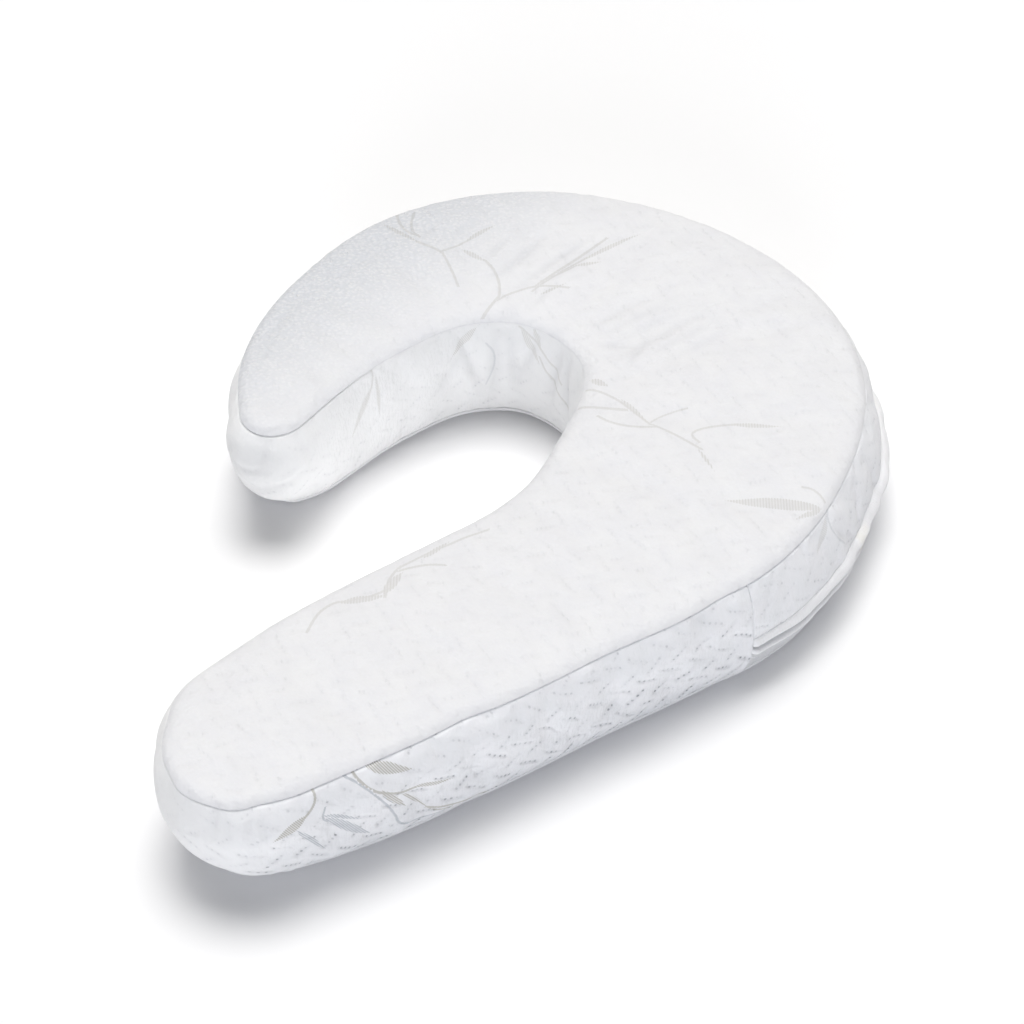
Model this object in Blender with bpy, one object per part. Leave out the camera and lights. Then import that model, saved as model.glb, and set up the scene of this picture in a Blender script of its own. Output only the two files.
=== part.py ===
"""Hook-shaped body pillow in a knitted cover, lying on its flat underside.

Metres, +Z up. X runs along the long arm, from its tip at -X to the loop at +X, and the
short arm curls back over the hollow at +Y. The filled pillow is one solid: a crowned top
panel, a flat underside and a wall set back for the side band. The band, the two strips
beside the zip and the two plackets are strips of cloth laid in and on that wall.
"""

from collections import namedtuple
from math import asin, cos, exp, pi, sin

import bmesh
import bpy
import numpy as np
from mathutils import Vector

MM = 0.001

# ---------------------------------------------------------------- plan of the pillow
# A row for each circle that just fits between the two edges of the top panel, in
# millimetres, from the tip of the long arm, round the loop, to the tip of the short arm.
Station = namedtuple("Station", "x y half_width")
STATIONS = [
    Station(-228, -150.0, 58.5),
    Station(-165, -146.0, 66.0),
    Station(-80, -144.0, 69.5),
    Station(0, -142.0, 71.5),
    Station(55, -134.5, 79.0),
    Station(105, -117.5, 90.0),
    Station(152, -88.0, 94.0),
    Station(187, -49.0, 95.0),
    Station(199, -6.0, 89.5),
    Station(195, 34.0, 83.0),
    Station(178, 77.0, 76.0),
    Station(149, 114.0, 70.0),
    Station(110, 138.0, 65.5),
    Station(65, 148.5, 61.0),
    Station(20, 142.5, 54.5),
    Station(-20, 130.5, 47.5),
    Station(-55, 111.5, 38.5),
    Station(-77, 94.0, 30.0),
    Station(-87.5, 85.0, 25.0),
]

# How each end is rounded off past its last station: length of the cap, how square its two
# corners are (2 is an ellipse), how far the bottom seam is tucked in and lifted below the
# tip, how much more the band swells there, and how far along the edge all that reaches.
Tip = namedtuple("Tip", "length outer_square inner_square tuck lift belly reach half_steps")
LONG_TIP = Tip(59.5, 2.5, 2.0, 14.0, 8.0, 1.0, 85.0, 5)
SHORT_TIP = Tip(25.5, 2.0, 2.0, 13.5, 9.0, 6.0, 40.0, 4)

STEP_ALONG = 15.5
CLOSEST_STEP = 6.0

# ---------------------------------------------------------------- heights and section
THICKNESS = 100 * MM
TOP_SEAM = 91 * MM
BOTTOM_SEAM = 9 * MM
CLOTH = 2.0 * MM
GAP = 0.35 * MM
END_GAP = 0.4 * MM

BELLY = 5.0 * MM
BELLY_SQUARE = 2.6
FLARE = 9.5 * MM
FLARE_POWER = 2.4
UNDERCUT = 2.0 * MM
UNDERCUT_FADE = 70 * MM
TUCK_POWER = 3.0
SEAM_DEPTH = 2.4 * MM
SEAM_REACH = 4.0 * MM

# Heights of the rows down the band. The two strips beside the zip end on rows of it.
UPPER_STRIP_FOOT = 46 * MM
LOWER_STRIP_HEAD = 29 * MM
BAND_ROWS = (TOP_SEAM, 87 * MM, 67 * MM, UPPER_STRIP_FOOT, LOWER_STRIP_HEAD, 14 * MM,
             BOTTOM_SEAM)

# Rows of a panel, in from its seam line: how far in, how far above the seam (top panel) or
# above the floor (underside), and how much of a tip's lift the row takes. Rows past the
# seam roll close up where the pillow is narrow.
PanelRow = namedtuple("PanelRow", "inset height lift_share")
TOP_ROWS = [
    PanelRow(2.4, 0.2, 0.0),
    PanelRow(0.5, 2.4, 0.0),
    PanelRow(4.0, 4.6, 0.0),
    PanelRow(12.0, 6.8, 0.0),
    PanelRow(27.0, 8.2, 0.0),
]
BOTTOM_ROWS = [
    PanelRow(2.4, 8.6, 1.0),
    PanelRow(1.0, 6.2, 1.0),
    PanelRow(5.5, 2.6, 0.8),
    PanelRow(16.0, 0.0, 0.0),
]
ROLL_INSET = 3.0
FULL_INSET_HALF_WIDTH = 50 * MM
CROWN_STEPS = 4

# ---------------------------------------------------------------- zip on the outer curve
# Where the zip's ends lie, the plain band laps over them and the plackets come to their
# full form, in millimetres along the middle of the pillow from its first station.
ZIP_START = 314.0
ZIP_END = 650.0
LAP = 9.0
LAP_RAMP = 8.0
FOLD_RAMP = 26.0
FLARE_REACH = 45.0

# Sections of the folded plackets: how far out from the face of the band, and the height.
Fold = namedtuple("Fold", "out height")
UPPER_FOLD = [
    Fold(-2.0, 45.6),
    Fold(-0.8, 45.6),
    Fold(2.6, 44.4),
    Fold(5.6, 41.2),
    Fold(6.4, 38.0),
    Fold(5.4, 37.0),
    Fold(2.0, 37.8),
    Fold(-2.0, 37.6),
]
LOWER_FOLD = [
    Fold(-2.0, 36.0),
    Fold(-0.6, 36.0),
    Fold(2.4, 34.8),
    Fold(3.8, 32.4),
    Fold(3.0, 31.2),
    Fold(0.4, 30.2),
    Fold(-2.0, 29.5),
]
FOLD_AT_END = 0.45
LOWER_FOLD_AT_END = 1.45
WAVE_LENGTH = 53.0
WAVE_RISE = 0.8 * MM


# ---------------------------------------------------------------- outline
def natural_spline(knots, values, at):
    """Natural cubic through the knots: values and slopes at each parameter in `at`."""
    count = len(knots)
    step = np.diff(knots)
    matrix = np.eye(count)
    right = np.zeros_like(values)
    for i in range(1, count - 1):
        matrix[i, i - 1:i + 2] = step[i - 1], 2 * (step[i - 1] + step[i]), step[i]
        rise_after = (values[i + 1] - values[i]) / step[i]
        rise_before = (values[i] - values[i - 1]) / step[i - 1]
        right[i] = 6 * (rise_after - rise_before)
    bend = np.linalg.solve(matrix, right)
    span = np.clip(np.searchsorted(knots, at, side="right") - 1, 0, count - 2)
    along = (at - knots[span])[:, None]
    size = step[span][:, None]
    start, end = values[span], values[span + 1]
    bend_start, bend_end = bend[span], bend[span + 1]
    slope = (end - start) / size - size * (2 * bend_start + bend_end) / 6
    cubic = (bend_end - bend_start) / (6 * size)
    value = start + slope * along + bend_start / 2 * along ** 2 + cubic * along ** 3
    return value, slope + bend_start * along + 3 * cubic * along ** 2


def cap_points(centre, heading, outer_normal, half_width, shrink, tip):
    """Points round one end, from the outer edge to the inner one, evenly turned."""
    widest = pi / 2 - asin(max(shrink, 0.0))
    turns = np.linspace(-widest, widest, 2 * tip.half_steps + 3)[1:-1]
    points = []
    for turn in turns:
        square = tip.outer_square if turn < 0 else tip.inner_square
        forward = abs(cos(turn)) ** (2 / square)
        sideways = -np.sign(sin(turn)) * abs(sin(turn)) ** (2 / square)
        points.append(centre + heading * tip.length * forward
                      + outer_normal * half_width * sideways)
    return points


def places_along(length):
    """Distances along the middle of the pillow: even steps, and each place named above."""
    named = [0.0, length]
    for end, inward in ((ZIP_START, 1), (ZIP_END, -1)):
        named += [end - inward * (LAP + LAP_RAMP), end - inward * LAP, end]
        named += [end + inward * FOLD_RAMP / 2, end + inward * FOLD_RAMP]
    even = np.arange(0, length, STEP_ALONG)
    kept = [place for place in even if min(abs(place - n) for n in named) > CLOSEST_STEP]
    return np.array(sorted(named + kept))


def plan_outline():
    """Places along the pillow, and the seam line of its top panel, counter-clockwise.

    The line starts at the tip of the long arm, so point i faces point -i across it.
    """
    table = np.array(STATIONS)
    knots = np.concatenate([[0], np.cumsum(np.hypot(*np.diff(table[:, :2], axis=0).T))])
    places = places_along(knots[-1])
    value, slope = natural_spline(knots, table, places)
    speed = np.hypot(slope[:, 0], slope[:, 1])
    heading = slope[:, :2] / speed[:, None]
    outer_normal = np.stack([heading[:, 1], -heading[:, 0]], axis=1)
    centre, half_width, widening = value[:, :2], value[:, 2], slope[:, 2] / speed
    back = (half_width * widening)[:, None] * heading
    side = (half_width * np.sqrt(1 - widening ** 2))[:, None] * outer_normal
    outer = list(centre - back + side)
    inner = list(centre - back - side)
    long_cap = cap_points(centre[0], -heading[0], outer_normal[0], half_width[0],
                          widening[0], LONG_TIP)
    short_cap = cap_points(centre[-1], heading[-1], outer_normal[-1], half_width[-1],
                           -widening[-1], SHORT_TIP)
    middle = LONG_TIP.half_steps
    loop = (long_cap[middle::-1] + outer + short_cap + inner[::-1]
            + long_cap[:middle:-1])
    return places, np.array(loop) * MM


PLACES, EDGE = plan_outline()
COUNT = len(EDGE)
SHORT_APEX = COUNT // 2
FIRST_OUTER = LONG_TIP.half_steps + 1
ARC = np.concatenate([[0], np.cumsum(np.hypot(*(np.roll(EDGE, -1, axis=0) - EDGE).T))])


def edge_normals():
    tangent = np.roll(EDGE, -1, axis=0) - np.roll(EDGE, 1, axis=0)
    tangent /= np.hypot(tangent[:, 0], tangent[:, 1])[:, None]
    return np.stack([tangent[:, 1], -tangent[:, 0]], axis=1)


NORMAL = edge_normals()


def outer_station(place):
    """The station on the outer edge at this named place along the pillow."""
    return FIRST_OUTER + int(np.argmin(abs(PLACES - place)))


def place_of(i):
    """How far along the pillow a station of the outer edge lies."""
    return float(PLACES[min(max(i - FIRST_OUTER, 0), len(PLACES) - 1)])


def smooth(x):
    x = min(max(x, 0.0), 1.0)
    return x * x * (3 - 2 * x)


def distance_from(i, apex):
    gap = abs(ARC[i] - ARC[apex])
    return min(gap, ARC[-1] - gap)


def tip_effect(i, name):
    """A tip's tuck, lift or belly at this place on the edge, fading with its reach."""
    total = 0.0
    for tip, apex in ((LONG_TIP, 0), (SHORT_TIP, SHORT_APEX)):
        fade = exp(-(distance_from(i, apex) / (tip.reach * MM)) ** 2)
        total += getattr(tip, name) * MM * fade
    return total


def flare_at(i):
    """How far the loose zip band leans out below this place on the edge."""
    if not FIRST_OUTER <= i < FIRST_OUTER + len(PLACES):
        return 0.0
    before = (place_of(i) - ZIP_START) / FLARE_REACH
    after = (ZIP_END - place_of(i)) / FLARE_REACH
    return FLARE * smooth((before + 1) / 2) * smooth((after + 1) / 2)


def tuck_at(i):
    """How far in the bottom seam lies: most round the tips, and outwards at the hollow."""
    side = 1 if i < SHORT_APEX else -1
    from_tip = min(distance_from(i, 0), distance_from(i, SHORT_APEX))
    return tip_effect(i, "tuck") + side * UNDERCUT * smooth(from_tip / UNDERCUT_FADE)


def half_width_at(i):
    """Half the width of the pillow at this place on the edge."""
    return float(np.hypot(*(EDGE[i] - EDGE[-i]))) / 2


def on_edge(i, out, height):
    """The point this far outside the seam line at station i."""
    x, y = EDGE[i] + NORMAL[i] * out
    return Vector((x, y, height))


def wall_point(i, out, height):
    """The point this far outside the band's face. The height is the one it has where
    the bottom seam isn't lifted, and it rises with the seam towards a tip."""
    down = (TOP_SEAM - height) / (TOP_SEAM - BOTTOM_SEAM)
    to_seam = min(TOP_SEAM - height, height - BOTTOM_SEAM)
    belly = (BELLY + tip_effect(i, "belly")) * (1 - abs(2 * down - 1) ** BELLY_SQUARE)
    flare = flare_at(i) * (1 - (1 - down) ** FLARE_POWER)
    tuck = tuck_at(i) * down ** TUCK_POWER
    pinch = SEAM_DEPTH * exp(-(to_seam / SEAM_REACH) ** 2)
    lift = tip_effect(i, "lift") * down
    return on_edge(i, belly + flare - tuck - pinch + out, height + lift)


def on_wall(i, out, height, onward=0.0):
    """A wall point at a station, or moved on from it towards the next or the last one."""
    i %= COUNT
    start = wall_point(i, out, height)
    if onward == 0.0:
        return start
    j = (i + (1 if onward > 0 else -1)) % COUNT
    return start + (wall_point(j, out, height) - start).normalized() * abs(onward)


# ---------------------------------------------------------------- making objects
def cloth_material(name, rgb, roughness):
    material = bpy.data.materials.new(name)
    material.use_nodes = True
    shader = material.node_tree.nodes["Principled BSDF"]
    shader.inputs["Base Color"].default_value = (*rgb, 1.0)
    shader.inputs["Roughness"].default_value = roughness
    shader.inputs["Metallic"].default_value = 0.0
    material.diffuse_color = (*rgb, 1.0)
    return material


def finish_object(name, mesh_builder, material):
    mesh = bpy.data.meshes.new(name)
    mesh_builder.normal_update()
    mesh_builder.to_mesh(mesh)
    mesh_builder.free()
    mesh.materials.append(material)
    mesh.shade_smooth()
    mesh.set_sharp_from_angle(angle=pi / 4)
    piece = bpy.data.objects.new(name, mesh)
    bpy.context.scene.collection.objects.link(piece)
    return piece


def join_rings(builder, upper, lower):
    """Faces between two closed rings of vertices, the first one above the second.

    The quads are cut from the upper near corner to the lower far one, as the strips'
    quads are, so that cloth and wall stay parallel where the wall twists.
    """
    count = len(upper)
    for i in range(count):
        j = (i + 1) % count
        builder.faces.new((upper[i], lower[i], lower[j]))
        builder.faces.new((upper[i], lower[j], upper[j]))


def rung_row(builder, ring, i, steps, height_at):
    """Vertices across the pillow from ring[i] to the one facing it."""
    near, far = ring[i], ring[-i]
    row = [near]
    for step in range(1, steps):
        share = step / steps
        place = near.co.lerp(far.co, share)
        place.z += height_at(i, 2 * share - 1)
        row.append(builder.verts.new(place))
    return row + [far]


def fill_ring(builder, ring, steps, height_at, facing_up):
    """Close a ring with rows of quads across the pillow, and a fan at each tip."""
    rows = [[ring[0]]]
    for i in range(1, SHORT_APEX):
        rows.append(rung_row(builder, ring, i, steps, height_at))
    rows.append([ring[SHORT_APEX]])
    for row, after in zip(rows, rows[1:]):
        for k in range(steps):
            corners = [row[min(k, len(row) - 1)], after[min(k, len(after) - 1)],
                       after[min(k + 1, len(after) - 1)], row[min(k + 1, len(row) - 1)]]
            face = list(dict.fromkeys(corners))
            builder.faces.new(face if facing_up else face[::-1])


def closing_up(i):
    """Share of a row's full inset that fits here, least at the tips."""
    long_end = distance_from(i, 0) < distance_from(i, SHORT_APEX)
    tip = LONG_TIP if long_end else SHORT_TIP
    room = max(half_width_at(i), tip.length * MM)
    return min(1.0, room / FULL_INSET_HALF_WIDTH)


def panel_ring(builder, row, seam_out, base):
    """One ring of a panel's vertices, placed from how far out its seam lies."""
    verts = []
    for i in range(COUNT):
        share = closing_up(i) if row.inset > ROLL_INSET else 1.0
        out = seam_out(i) - row.inset * MM * share
        height = base + row.height * MM + row.lift_share * tip_effect(i, "lift")
        verts.append(builder.verts.new(on_edge(i, out, height)))
    return verts


def top_seam_out(i):
    return 0.0


def bottom_seam_out(i):
    return flare_at(i) - tuck_at(i)


def crown(i, across):
    """Extra height of the top panel between its innermost rows."""
    rise = THICKNESS - TOP_SEAM - TOP_ROWS[-1].height * MM
    return rise * (1 - across ** 2)


def flat(i, across):
    return 0.0


# ---------------------------------------------------------------- the pieces
def build_filled_pillow(material):
    """The filled pillow: crowned top, set-back wall and flat underside, one solid."""
    builder = bmesh.new()
    rings = [panel_ring(builder, row, top_seam_out, TOP_SEAM) for row in reversed(TOP_ROWS)]
    set_back = -(CLOTH + GAP)
    for height in BAND_ROWS:
        rings.append([builder.verts.new(wall_point(i, set_back, height))
                      for i in range(COUNT)])
    rings += [panel_ring(builder, row, bottom_seam_out, 0.0) for row in BOTTOM_ROWS]
    for upper, lower in zip(rings, rings[1:]):
        join_rings(builder, upper, lower)
    fill_ring(builder, rings[0], CROWN_STEPS, crown, facing_up=True)
    fill_ring(builder, rings[-1], 1, flat, facing_up=False)
    return finish_object("filled_pillow", builder, material)


def sweep(name, stations, section_at, face_count, material):
    """A closed solid through the section given at each station along the edge.

    Up to face_count a section's points run down the face, and past it up the back.
    """
    builder = bmesh.new()
    sections = [[builder.verts.new(point) for point in section_at(i)] for i in stations]
    count = len(sections[0])
    for before, after in zip(sections, sections[1:]):
        for k in range(count):
            j = (k + 1) % count
            if k < face_count:
                builder.faces.new((before[k], before[j], after[j]))
                builder.faces.new((before[k], after[j], after[k]))
            else:
                builder.faces.new((before[k], before[j], after[k]))
                builder.faces.new((before[j], after[j], after[k]))
    builder.faces.new(sections[0][::-1])
    builder.faces.new(sections[-1])
    bmesh.ops.recalc_face_normals(builder, faces=builder.faces)
    return finish_object(name, builder, material)


def strip_section(i, heights, lift):
    """Section of a strip of cloth on the wall: its outer face down, its back up."""
    face = [on_wall(i, lift, height) for height in heights]
    back = [on_wall(i, lift - CLOTH, height) for height in reversed(heights)]
    return face + back


def band_heights(top, foot):
    """Heights down a strip of the band, at the rows that it shares with the wall."""
    head = min(top, TOP_SEAM - GAP)
    hem = max(foot, BOTTOM_SEAM + GAP)
    return [head] + [row for row in BAND_ROWS if hem < row < head] + [hem]


def build_side_band(material):
    """The plain band, from one end of the zip round both tips to the other, lapped over."""
    first, last = outer_station(ZIP_END), outer_station(ZIP_START) + COUNT
    heights = band_heights(TOP_SEAM, BOTTOM_SEAM)
    flat_from = outer_station(ZIP_END + LAP + LAP_RAMP)
    flat_to = outer_station(ZIP_START - LAP - LAP_RAMP) + COUNT

    def section(i):
        lapped = i < flat_from or i > flat_to
        return strip_section(i, heights, CLOTH + GAP if lapped else 0.0)

    return sweep("side_band", range(first, last + 1), section, len(heights) - 1, material)


def build_zip_strip(name, top, foot, material):
    """One strip of cloth beside the zip, running on under the lapped ends."""
    heights = band_heights(top, foot)
    first, last = outer_station(ZIP_START - LAP), outer_station(ZIP_END + LAP)

    def section(i):
        onward = {first: END_GAP, last: -END_GAP}.get(i, 0.0)
        face = [on_wall(i, 0.0, height, onward) for height in heights]
        back = [on_wall(i, -CLOTH, height, onward) for height in reversed(heights)]
        return face + back

    return sweep(name, range(first, last + 1), section, len(heights) - 1, material)


def build_placket(name, fold, at_end, material):
    """A folded strip that stands out from the band, fuller or flatter at its ends."""
    first, last = outer_station(ZIP_START), outer_station(ZIP_END)

    def section(i):
        onward = {first: END_GAP, last: -END_GAP}.get(i, 0.0)
        from_end = min(place_of(i) - ZIP_START, ZIP_END - place_of(i))
        scale = at_end + (1 - at_end) * smooth(from_end / FOLD_RAMP)
        wave = WAVE_RISE * sin(2 * pi * (place_of(i) - ZIP_START) / WAVE_LENGTH)
        furthest = max(corner.out for corner in fold)
        points = []
        for corner in fold:
            proud = max(corner.out, 0.0)
            out = (corner.out - proud + proud * scale) * MM
            height = corner.height * MM + wave * proud / furthest
            points.append(on_wall(i, out, height, onward))
        return points

    return sweep(name, range(first, last + 1), section, len(fold) - 1, material)


def centre_on_floor(pieces):
    """Shift every mesh so that the middle of the whole underside is the origin."""
    corners = [vertex.co for piece in pieces for vertex in piece.data.vertices]
    low = Vector([min(corner[axis] for corner in corners) for axis in range(3)])
    high = Vector([max(corner[axis] for corner in corners) for axis in range(3)])
    shift = Vector((-(low.x + high.x) / 2, -(low.y + high.y) / 2, -low.z))
    for piece in pieces:
        for vertex in piece.data.vertices:
            vertex.co += shift


def main():
    for old in list(bpy.data.objects):
        bpy.data.objects.remove(old, do_unlink=True)
    panel = cloth_material("panel_knit", (0.83, 0.84, 0.86), 0.92)
    band = cloth_material("band_knit", (0.74, 0.75, 0.78), 0.94)
    strip = cloth_material("strip_knit", (0.70, 0.71, 0.74), 0.94)
    folded = cloth_material("folded_placket", (0.88, 0.88, 0.89), 0.88)
    pieces = [
        build_filled_pillow(panel),
        build_side_band(band),
        build_zip_strip("zip_band_upper", TOP_SEAM, UPPER_STRIP_FOOT, band),
        build_zip_strip("zip_band_lower", LOWER_STRIP_HEAD, BOTTOM_SEAM, strip),
        build_placket("placket_upper", UPPER_FOLD, FOLD_AT_END, folded),
        build_placket("placket_lower", LOWER_FOLD, LOWER_FOLD_AT_END, folded),
    ]
    centre_on_floor(pieces)


main()
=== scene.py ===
"""A curved body pillow in a white knitted cover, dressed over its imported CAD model.

The cover is a top and an underside of knitted cloth, sewn to a boxed band that runs round
the pillow. A zip on the outer curve of the band is hidden by two folded flaps of cloth.
"""
from collections import namedtuple
from math import cos, pi, radians, sin

import bpy
import numpy as np
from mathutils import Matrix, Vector, geometry, noise
from mathutils.bvhtree import BVHTree
from mathutils.kdtree import KDTree


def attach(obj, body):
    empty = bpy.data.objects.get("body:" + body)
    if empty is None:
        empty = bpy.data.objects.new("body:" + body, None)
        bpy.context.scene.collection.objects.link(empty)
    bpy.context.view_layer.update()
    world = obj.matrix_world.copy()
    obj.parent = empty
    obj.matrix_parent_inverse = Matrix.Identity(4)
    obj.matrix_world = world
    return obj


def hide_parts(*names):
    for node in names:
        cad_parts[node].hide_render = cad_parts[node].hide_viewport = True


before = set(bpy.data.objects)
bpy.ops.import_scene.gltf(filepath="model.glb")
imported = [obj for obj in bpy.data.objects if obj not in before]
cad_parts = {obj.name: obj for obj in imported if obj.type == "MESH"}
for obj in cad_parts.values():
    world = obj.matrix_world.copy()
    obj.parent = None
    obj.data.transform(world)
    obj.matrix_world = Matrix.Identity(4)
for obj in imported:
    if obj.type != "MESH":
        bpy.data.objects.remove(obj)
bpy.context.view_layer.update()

MM = 0.001

# ---------------------------------------------------------------- sizes, in millimetres
# Columns of the meshes stand this far apart round the pillow.
STEP = 2.0
TOP_SEAM = 91.0
BOTTOM_SEAM = 9.0
FACE = TOP_SEAM - BOTTOM_SEAM
CLOTH = 2.0
BAND_CLOTH = 1.8
# Room between one cloth and the next.
GAP = 0.35
UPPER_STRIP_FOOT = 46.0
LOWER_STRIP_HEAD = 29.0
# The band's face bellies, leans out and tucks under by curves with these powers.
BELLY_POWER = 2.6
LEAN_POWER = 2.4
TUCK_POWER = 3.0
# How deep each seam draws the face in, and over what height.
SEAM_DEPTH = 1.7
FOOT_SEAM_DEPTH = 0.9
SEAM_REACH = 0.8
# Along the hollow the top seam lies flatter, with this share of its full notch, and there
# the band's edge is tucked up under the roll of the top.
INNER_FROM, INNER_TO, INNER_NOTCH = 1385.0, 2000.0, 0.12
NOTCH_RAMP = 40.0
TUCKED_UP = 0.6

# The CAD panel's row of corners nearest its seam lies this far above it and inside it.
EDGE_RISE, EDGE_INSET = 2.4, 0.5
# How the band's face is measured on the CAD: a ray comes in from outside at each height,
# and what the CAD's own seams draw in is added back.
RAY_START = 30.0
RAY_REACH = 50.0
MEASURED_HEIGHTS = np.array([87.0, 67.0, 47.0, 28.0, 14.5])
CAD_SEAM_DEPTH, CAD_SEAM_REACH = 2.4, 4.0
# Past the laps of the band's ends by this much at each side, the face is a single cloth.
PAST_STRIP, PAST_ZIP = 12.0, 4.0
# The hem lifts by less than this at the tips, and is felt for in steps of this.
HEM_LIFT, HEM_STEP = 12.0, 0.5

# The crown of the top panel: the height it ends at, and how quickly the two curves that
# carry it up from the seam die away.
CROWN = 100.0
WIDE_FALL, WIDE_REACH = 3.1, 20.0
ROLL_FALL, ROLL_REACH = 5.6, 3.4

# Rows down the roll of the top panel into its seam, and of the underside out of its own.
RollRow = namedtuple("RollRow", "inset height")
TOP_ROLL = [
    RollRow(1.0, 92.88),
    RollRow(0.6, 92.3),
    RollRow(0.25, 91.85),
    RollRow(0.1, 91.55),
    RollRow(0.2, 91.3),
    RollRow(0.6, 91.15),
    RollRow(1.3, 91.05),
    RollRow(2.1, 91.0),
]
# At the lifted tips the underside also goes back along the arm, by `back` times the lift.
FootRow = namedtuple("FootRow", "inset height back")
BOTTOM_ROLL = [
    FootRow(2.1, 8.95, 0.0),
    FootRow(1.2, 8.85, 0.0),
    FootRow(0.5, 8.6, 0.0),
    FootRow(0.3, 8.0, 0.0),
    FootRow(0.9, 6.0, 0.1),
    FootRow(2.4, 4.3, 0.45),
    FootRow(4.6, 2.6, 1.0),
    FootRow(8.0, 1.2, 1.5),
    FootRow(12.0, 0.4, 1.8),
    FootRow(16.0, 0.0, 1.9),
]
# Below this height the roll's rows lie in the seam's notch, and go in as far as it does.
IN_NOTCH, LEAST_INSET = 91.5, 0.1
# Rows that follow the seam on the top, and the pitch of the even grids within them.
TOP_INSETS = (1.6, 2.6, 3.9, 5.5, 7.4, 9.6, 12.2)
TOP_GRID = 2.1
BOTTOM_GRID = 6.0
# The cover's wall behind the band: shares of the way up it, and how far clear it lies.
WALL_ROWS = (0.99, 0.95, 0.85, 0.7, 0.55, 0.4, 0.25, 0.12, 0.05, 0.01)
WALL_CLEAR = 0.3
# The underside's full roll needs this much room across the pillow, and it is never less
# than this share of itself. Rows that go in by less than the last keep their own inset.
ROLL_ROOM, LEAST_ROLL, NARROW_INSET = 50.0, 0.45, 3.0
# Of the lift at the tips, a row at the first height has none, and all of it from the
# second on.
NOT_LIFTED, ALL_LIFTED = 0.4, 5.4
# The top lies less unevenly than the band, by this share.
TOP_UNEVEN = 0.55


# ---------------------------------------------------------------- lines and curves
# Points tried against a line at once, to keep within memory.
AT_ONCE = 1500


def smooth(x):
    x = np.clip(x, 0.0, 1.0)
    return x * x * (3 - 2 * x)


def eased(values, reach):
    """Values at even steps round a closed line, evened out over this reach."""
    turns = np.fft.rfftfreq(len(values), d=STEP)
    keep = np.exp(-2 * (pi * turns * reach) ** 2)
    keep = keep.reshape((-1,) + (1,) * (values.ndim - 1))
    return np.fft.irfft(np.fft.rfft(values, axis=0) * keep, len(values), axis=0)


def walk_round(corners):
    """The corners of a closed line in order, anticlockwise from the one furthest left."""
    left = list(range(len(corners)))
    here = int(np.argmin(corners[:, 0]))
    order = []
    while left:
        left.remove(here)
        order.append(here)
        if left:
            gaps = np.hypot(*(corners[left] - corners[here]).T)
            here = left[int(np.argmin(gaps))]
    line = corners[order]
    following = np.roll(line, -1, axis=0)
    area = np.sum(line[:, 0] * following[:, 1] - following[:, 0] * line[:, 1])
    return line if area > 0 else np.concatenate([line[:1], line[:0:-1]])


def even_line(corners, reach):
    """A smooth closed line through the corners, in even steps of about STEP."""
    before, after, beyond = (np.roll(corners, -k, axis=0) for k in (-1, 1, 2))
    along = np.linspace(0, 1, 16, endpoint=False)[None, :, None]
    here = corners[:, None]
    slope_in = (after - before)[:, None] / 2
    slope_out = (beyond - corners)[:, None] / 2
    rise = after[:, None] - here
    bend = 3 * rise - 2 * slope_in - slope_out
    twist = slope_in + slope_out - 2 * rise
    dense = (here + slope_in * along + bend * along ** 2 + twist * along ** 3)
    dense = dense.reshape(-1, 2)
    dense = np.concatenate([dense, dense[:1]])
    arc = np.concatenate([[0], np.cumsum(np.hypot(*np.diff(dense, axis=0).T))])
    count = int(round(arc[-1] / STEP))
    at = np.linspace(0, arc[-1], count, endpoint=False)
    line = np.stack([np.interp(at, arc, dense[:, axis]) for axis in (0, 1)], axis=1)
    return eased(line, reach)


def outward(line):
    tangent = np.roll(line, -1, axis=0) - np.roll(line, 1, axis=0)
    tangent /= np.hypot(*tangent.T)[:, None]
    return np.stack([tangent[:, 1], -tangent[:, 0]], axis=1)


def nearest_on(line, points):
    """For each point: how far from the closed line, how far along it, and if inside."""
    ends = np.roll(line, -1, axis=0)
    run = ends - line
    size = (run ** 2).sum(axis=1)
    lengths = np.sqrt(size)
    arc = np.concatenate([[0], np.cumsum(lengths)])
    far, place, inside = [], [], []
    for start in range(0, len(points), AT_ONCE):
        some = points[start:start + AT_ONCE, None]
        share = np.clip(((some - line) * run).sum(axis=2) / size, 0, 1)
        away = some - line - run * share[..., None]
        gap = (away ** 2).sum(axis=2)
        best = gap.argmin(axis=1)
        rows = np.arange(len(best))
        far.append(np.sqrt(gap[rows, best]))
        place.append(arc[best] + share[rows, best] * lengths[best])
        side = away[rows, best]
        inside.append(run[best, 0] * side[:, 1] - run[best, 1] * side[:, 0] > 0)
    return np.concatenate(far), np.concatenate(place), np.concatenate(inside)


# ---------------------------------------------------------------- the CAD, measured
def points_of(piece):
    """Where each vertex of a mesh lies, in millimetres."""
    return np.array([vertex.co for vertex in piece.data.vertices]) / MM


def corners_of(node):
    return points_of(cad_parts[node])


def tree_of(*nodes):
    """The CAD faces of these nodes, in millimetres, for rays to meet."""
    corners, faces = [], []
    for node in nodes:
        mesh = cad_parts[node].data
        faces += [[len(corners) + k for k in face.vertices] for face in mesh.polygons]
        corners += [vertex.co / MM for vertex in mesh.vertices]
    return BVHTree.FromPolygons(corners, faces)


panel = corners_of("filled_pillow")
edge_row = panel[abs(panel[:, 2] - TOP_SEAM - EDGE_RISE) < 0.1]
SEAM = even_line(walk_round(np.unique(edge_row[:, :2].round(3), axis=0)), reach=4.0)
OUT = outward(SEAM)
SEAM = SEAM + OUT * EDGE_INSET
COUNT = len(SEAM)
LENGTH = float(np.hypot(*(np.roll(SEAM, -1, axis=0) - SEAM).T).sum())
PLACES = np.arange(COUNT) * LENGTH / COUNT


def along_from(places, at):
    """How far places lie along the seam from another, the short way round."""
    return (places - at + LENGTH / 2) % LENGTH - LENGTH / 2


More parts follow.
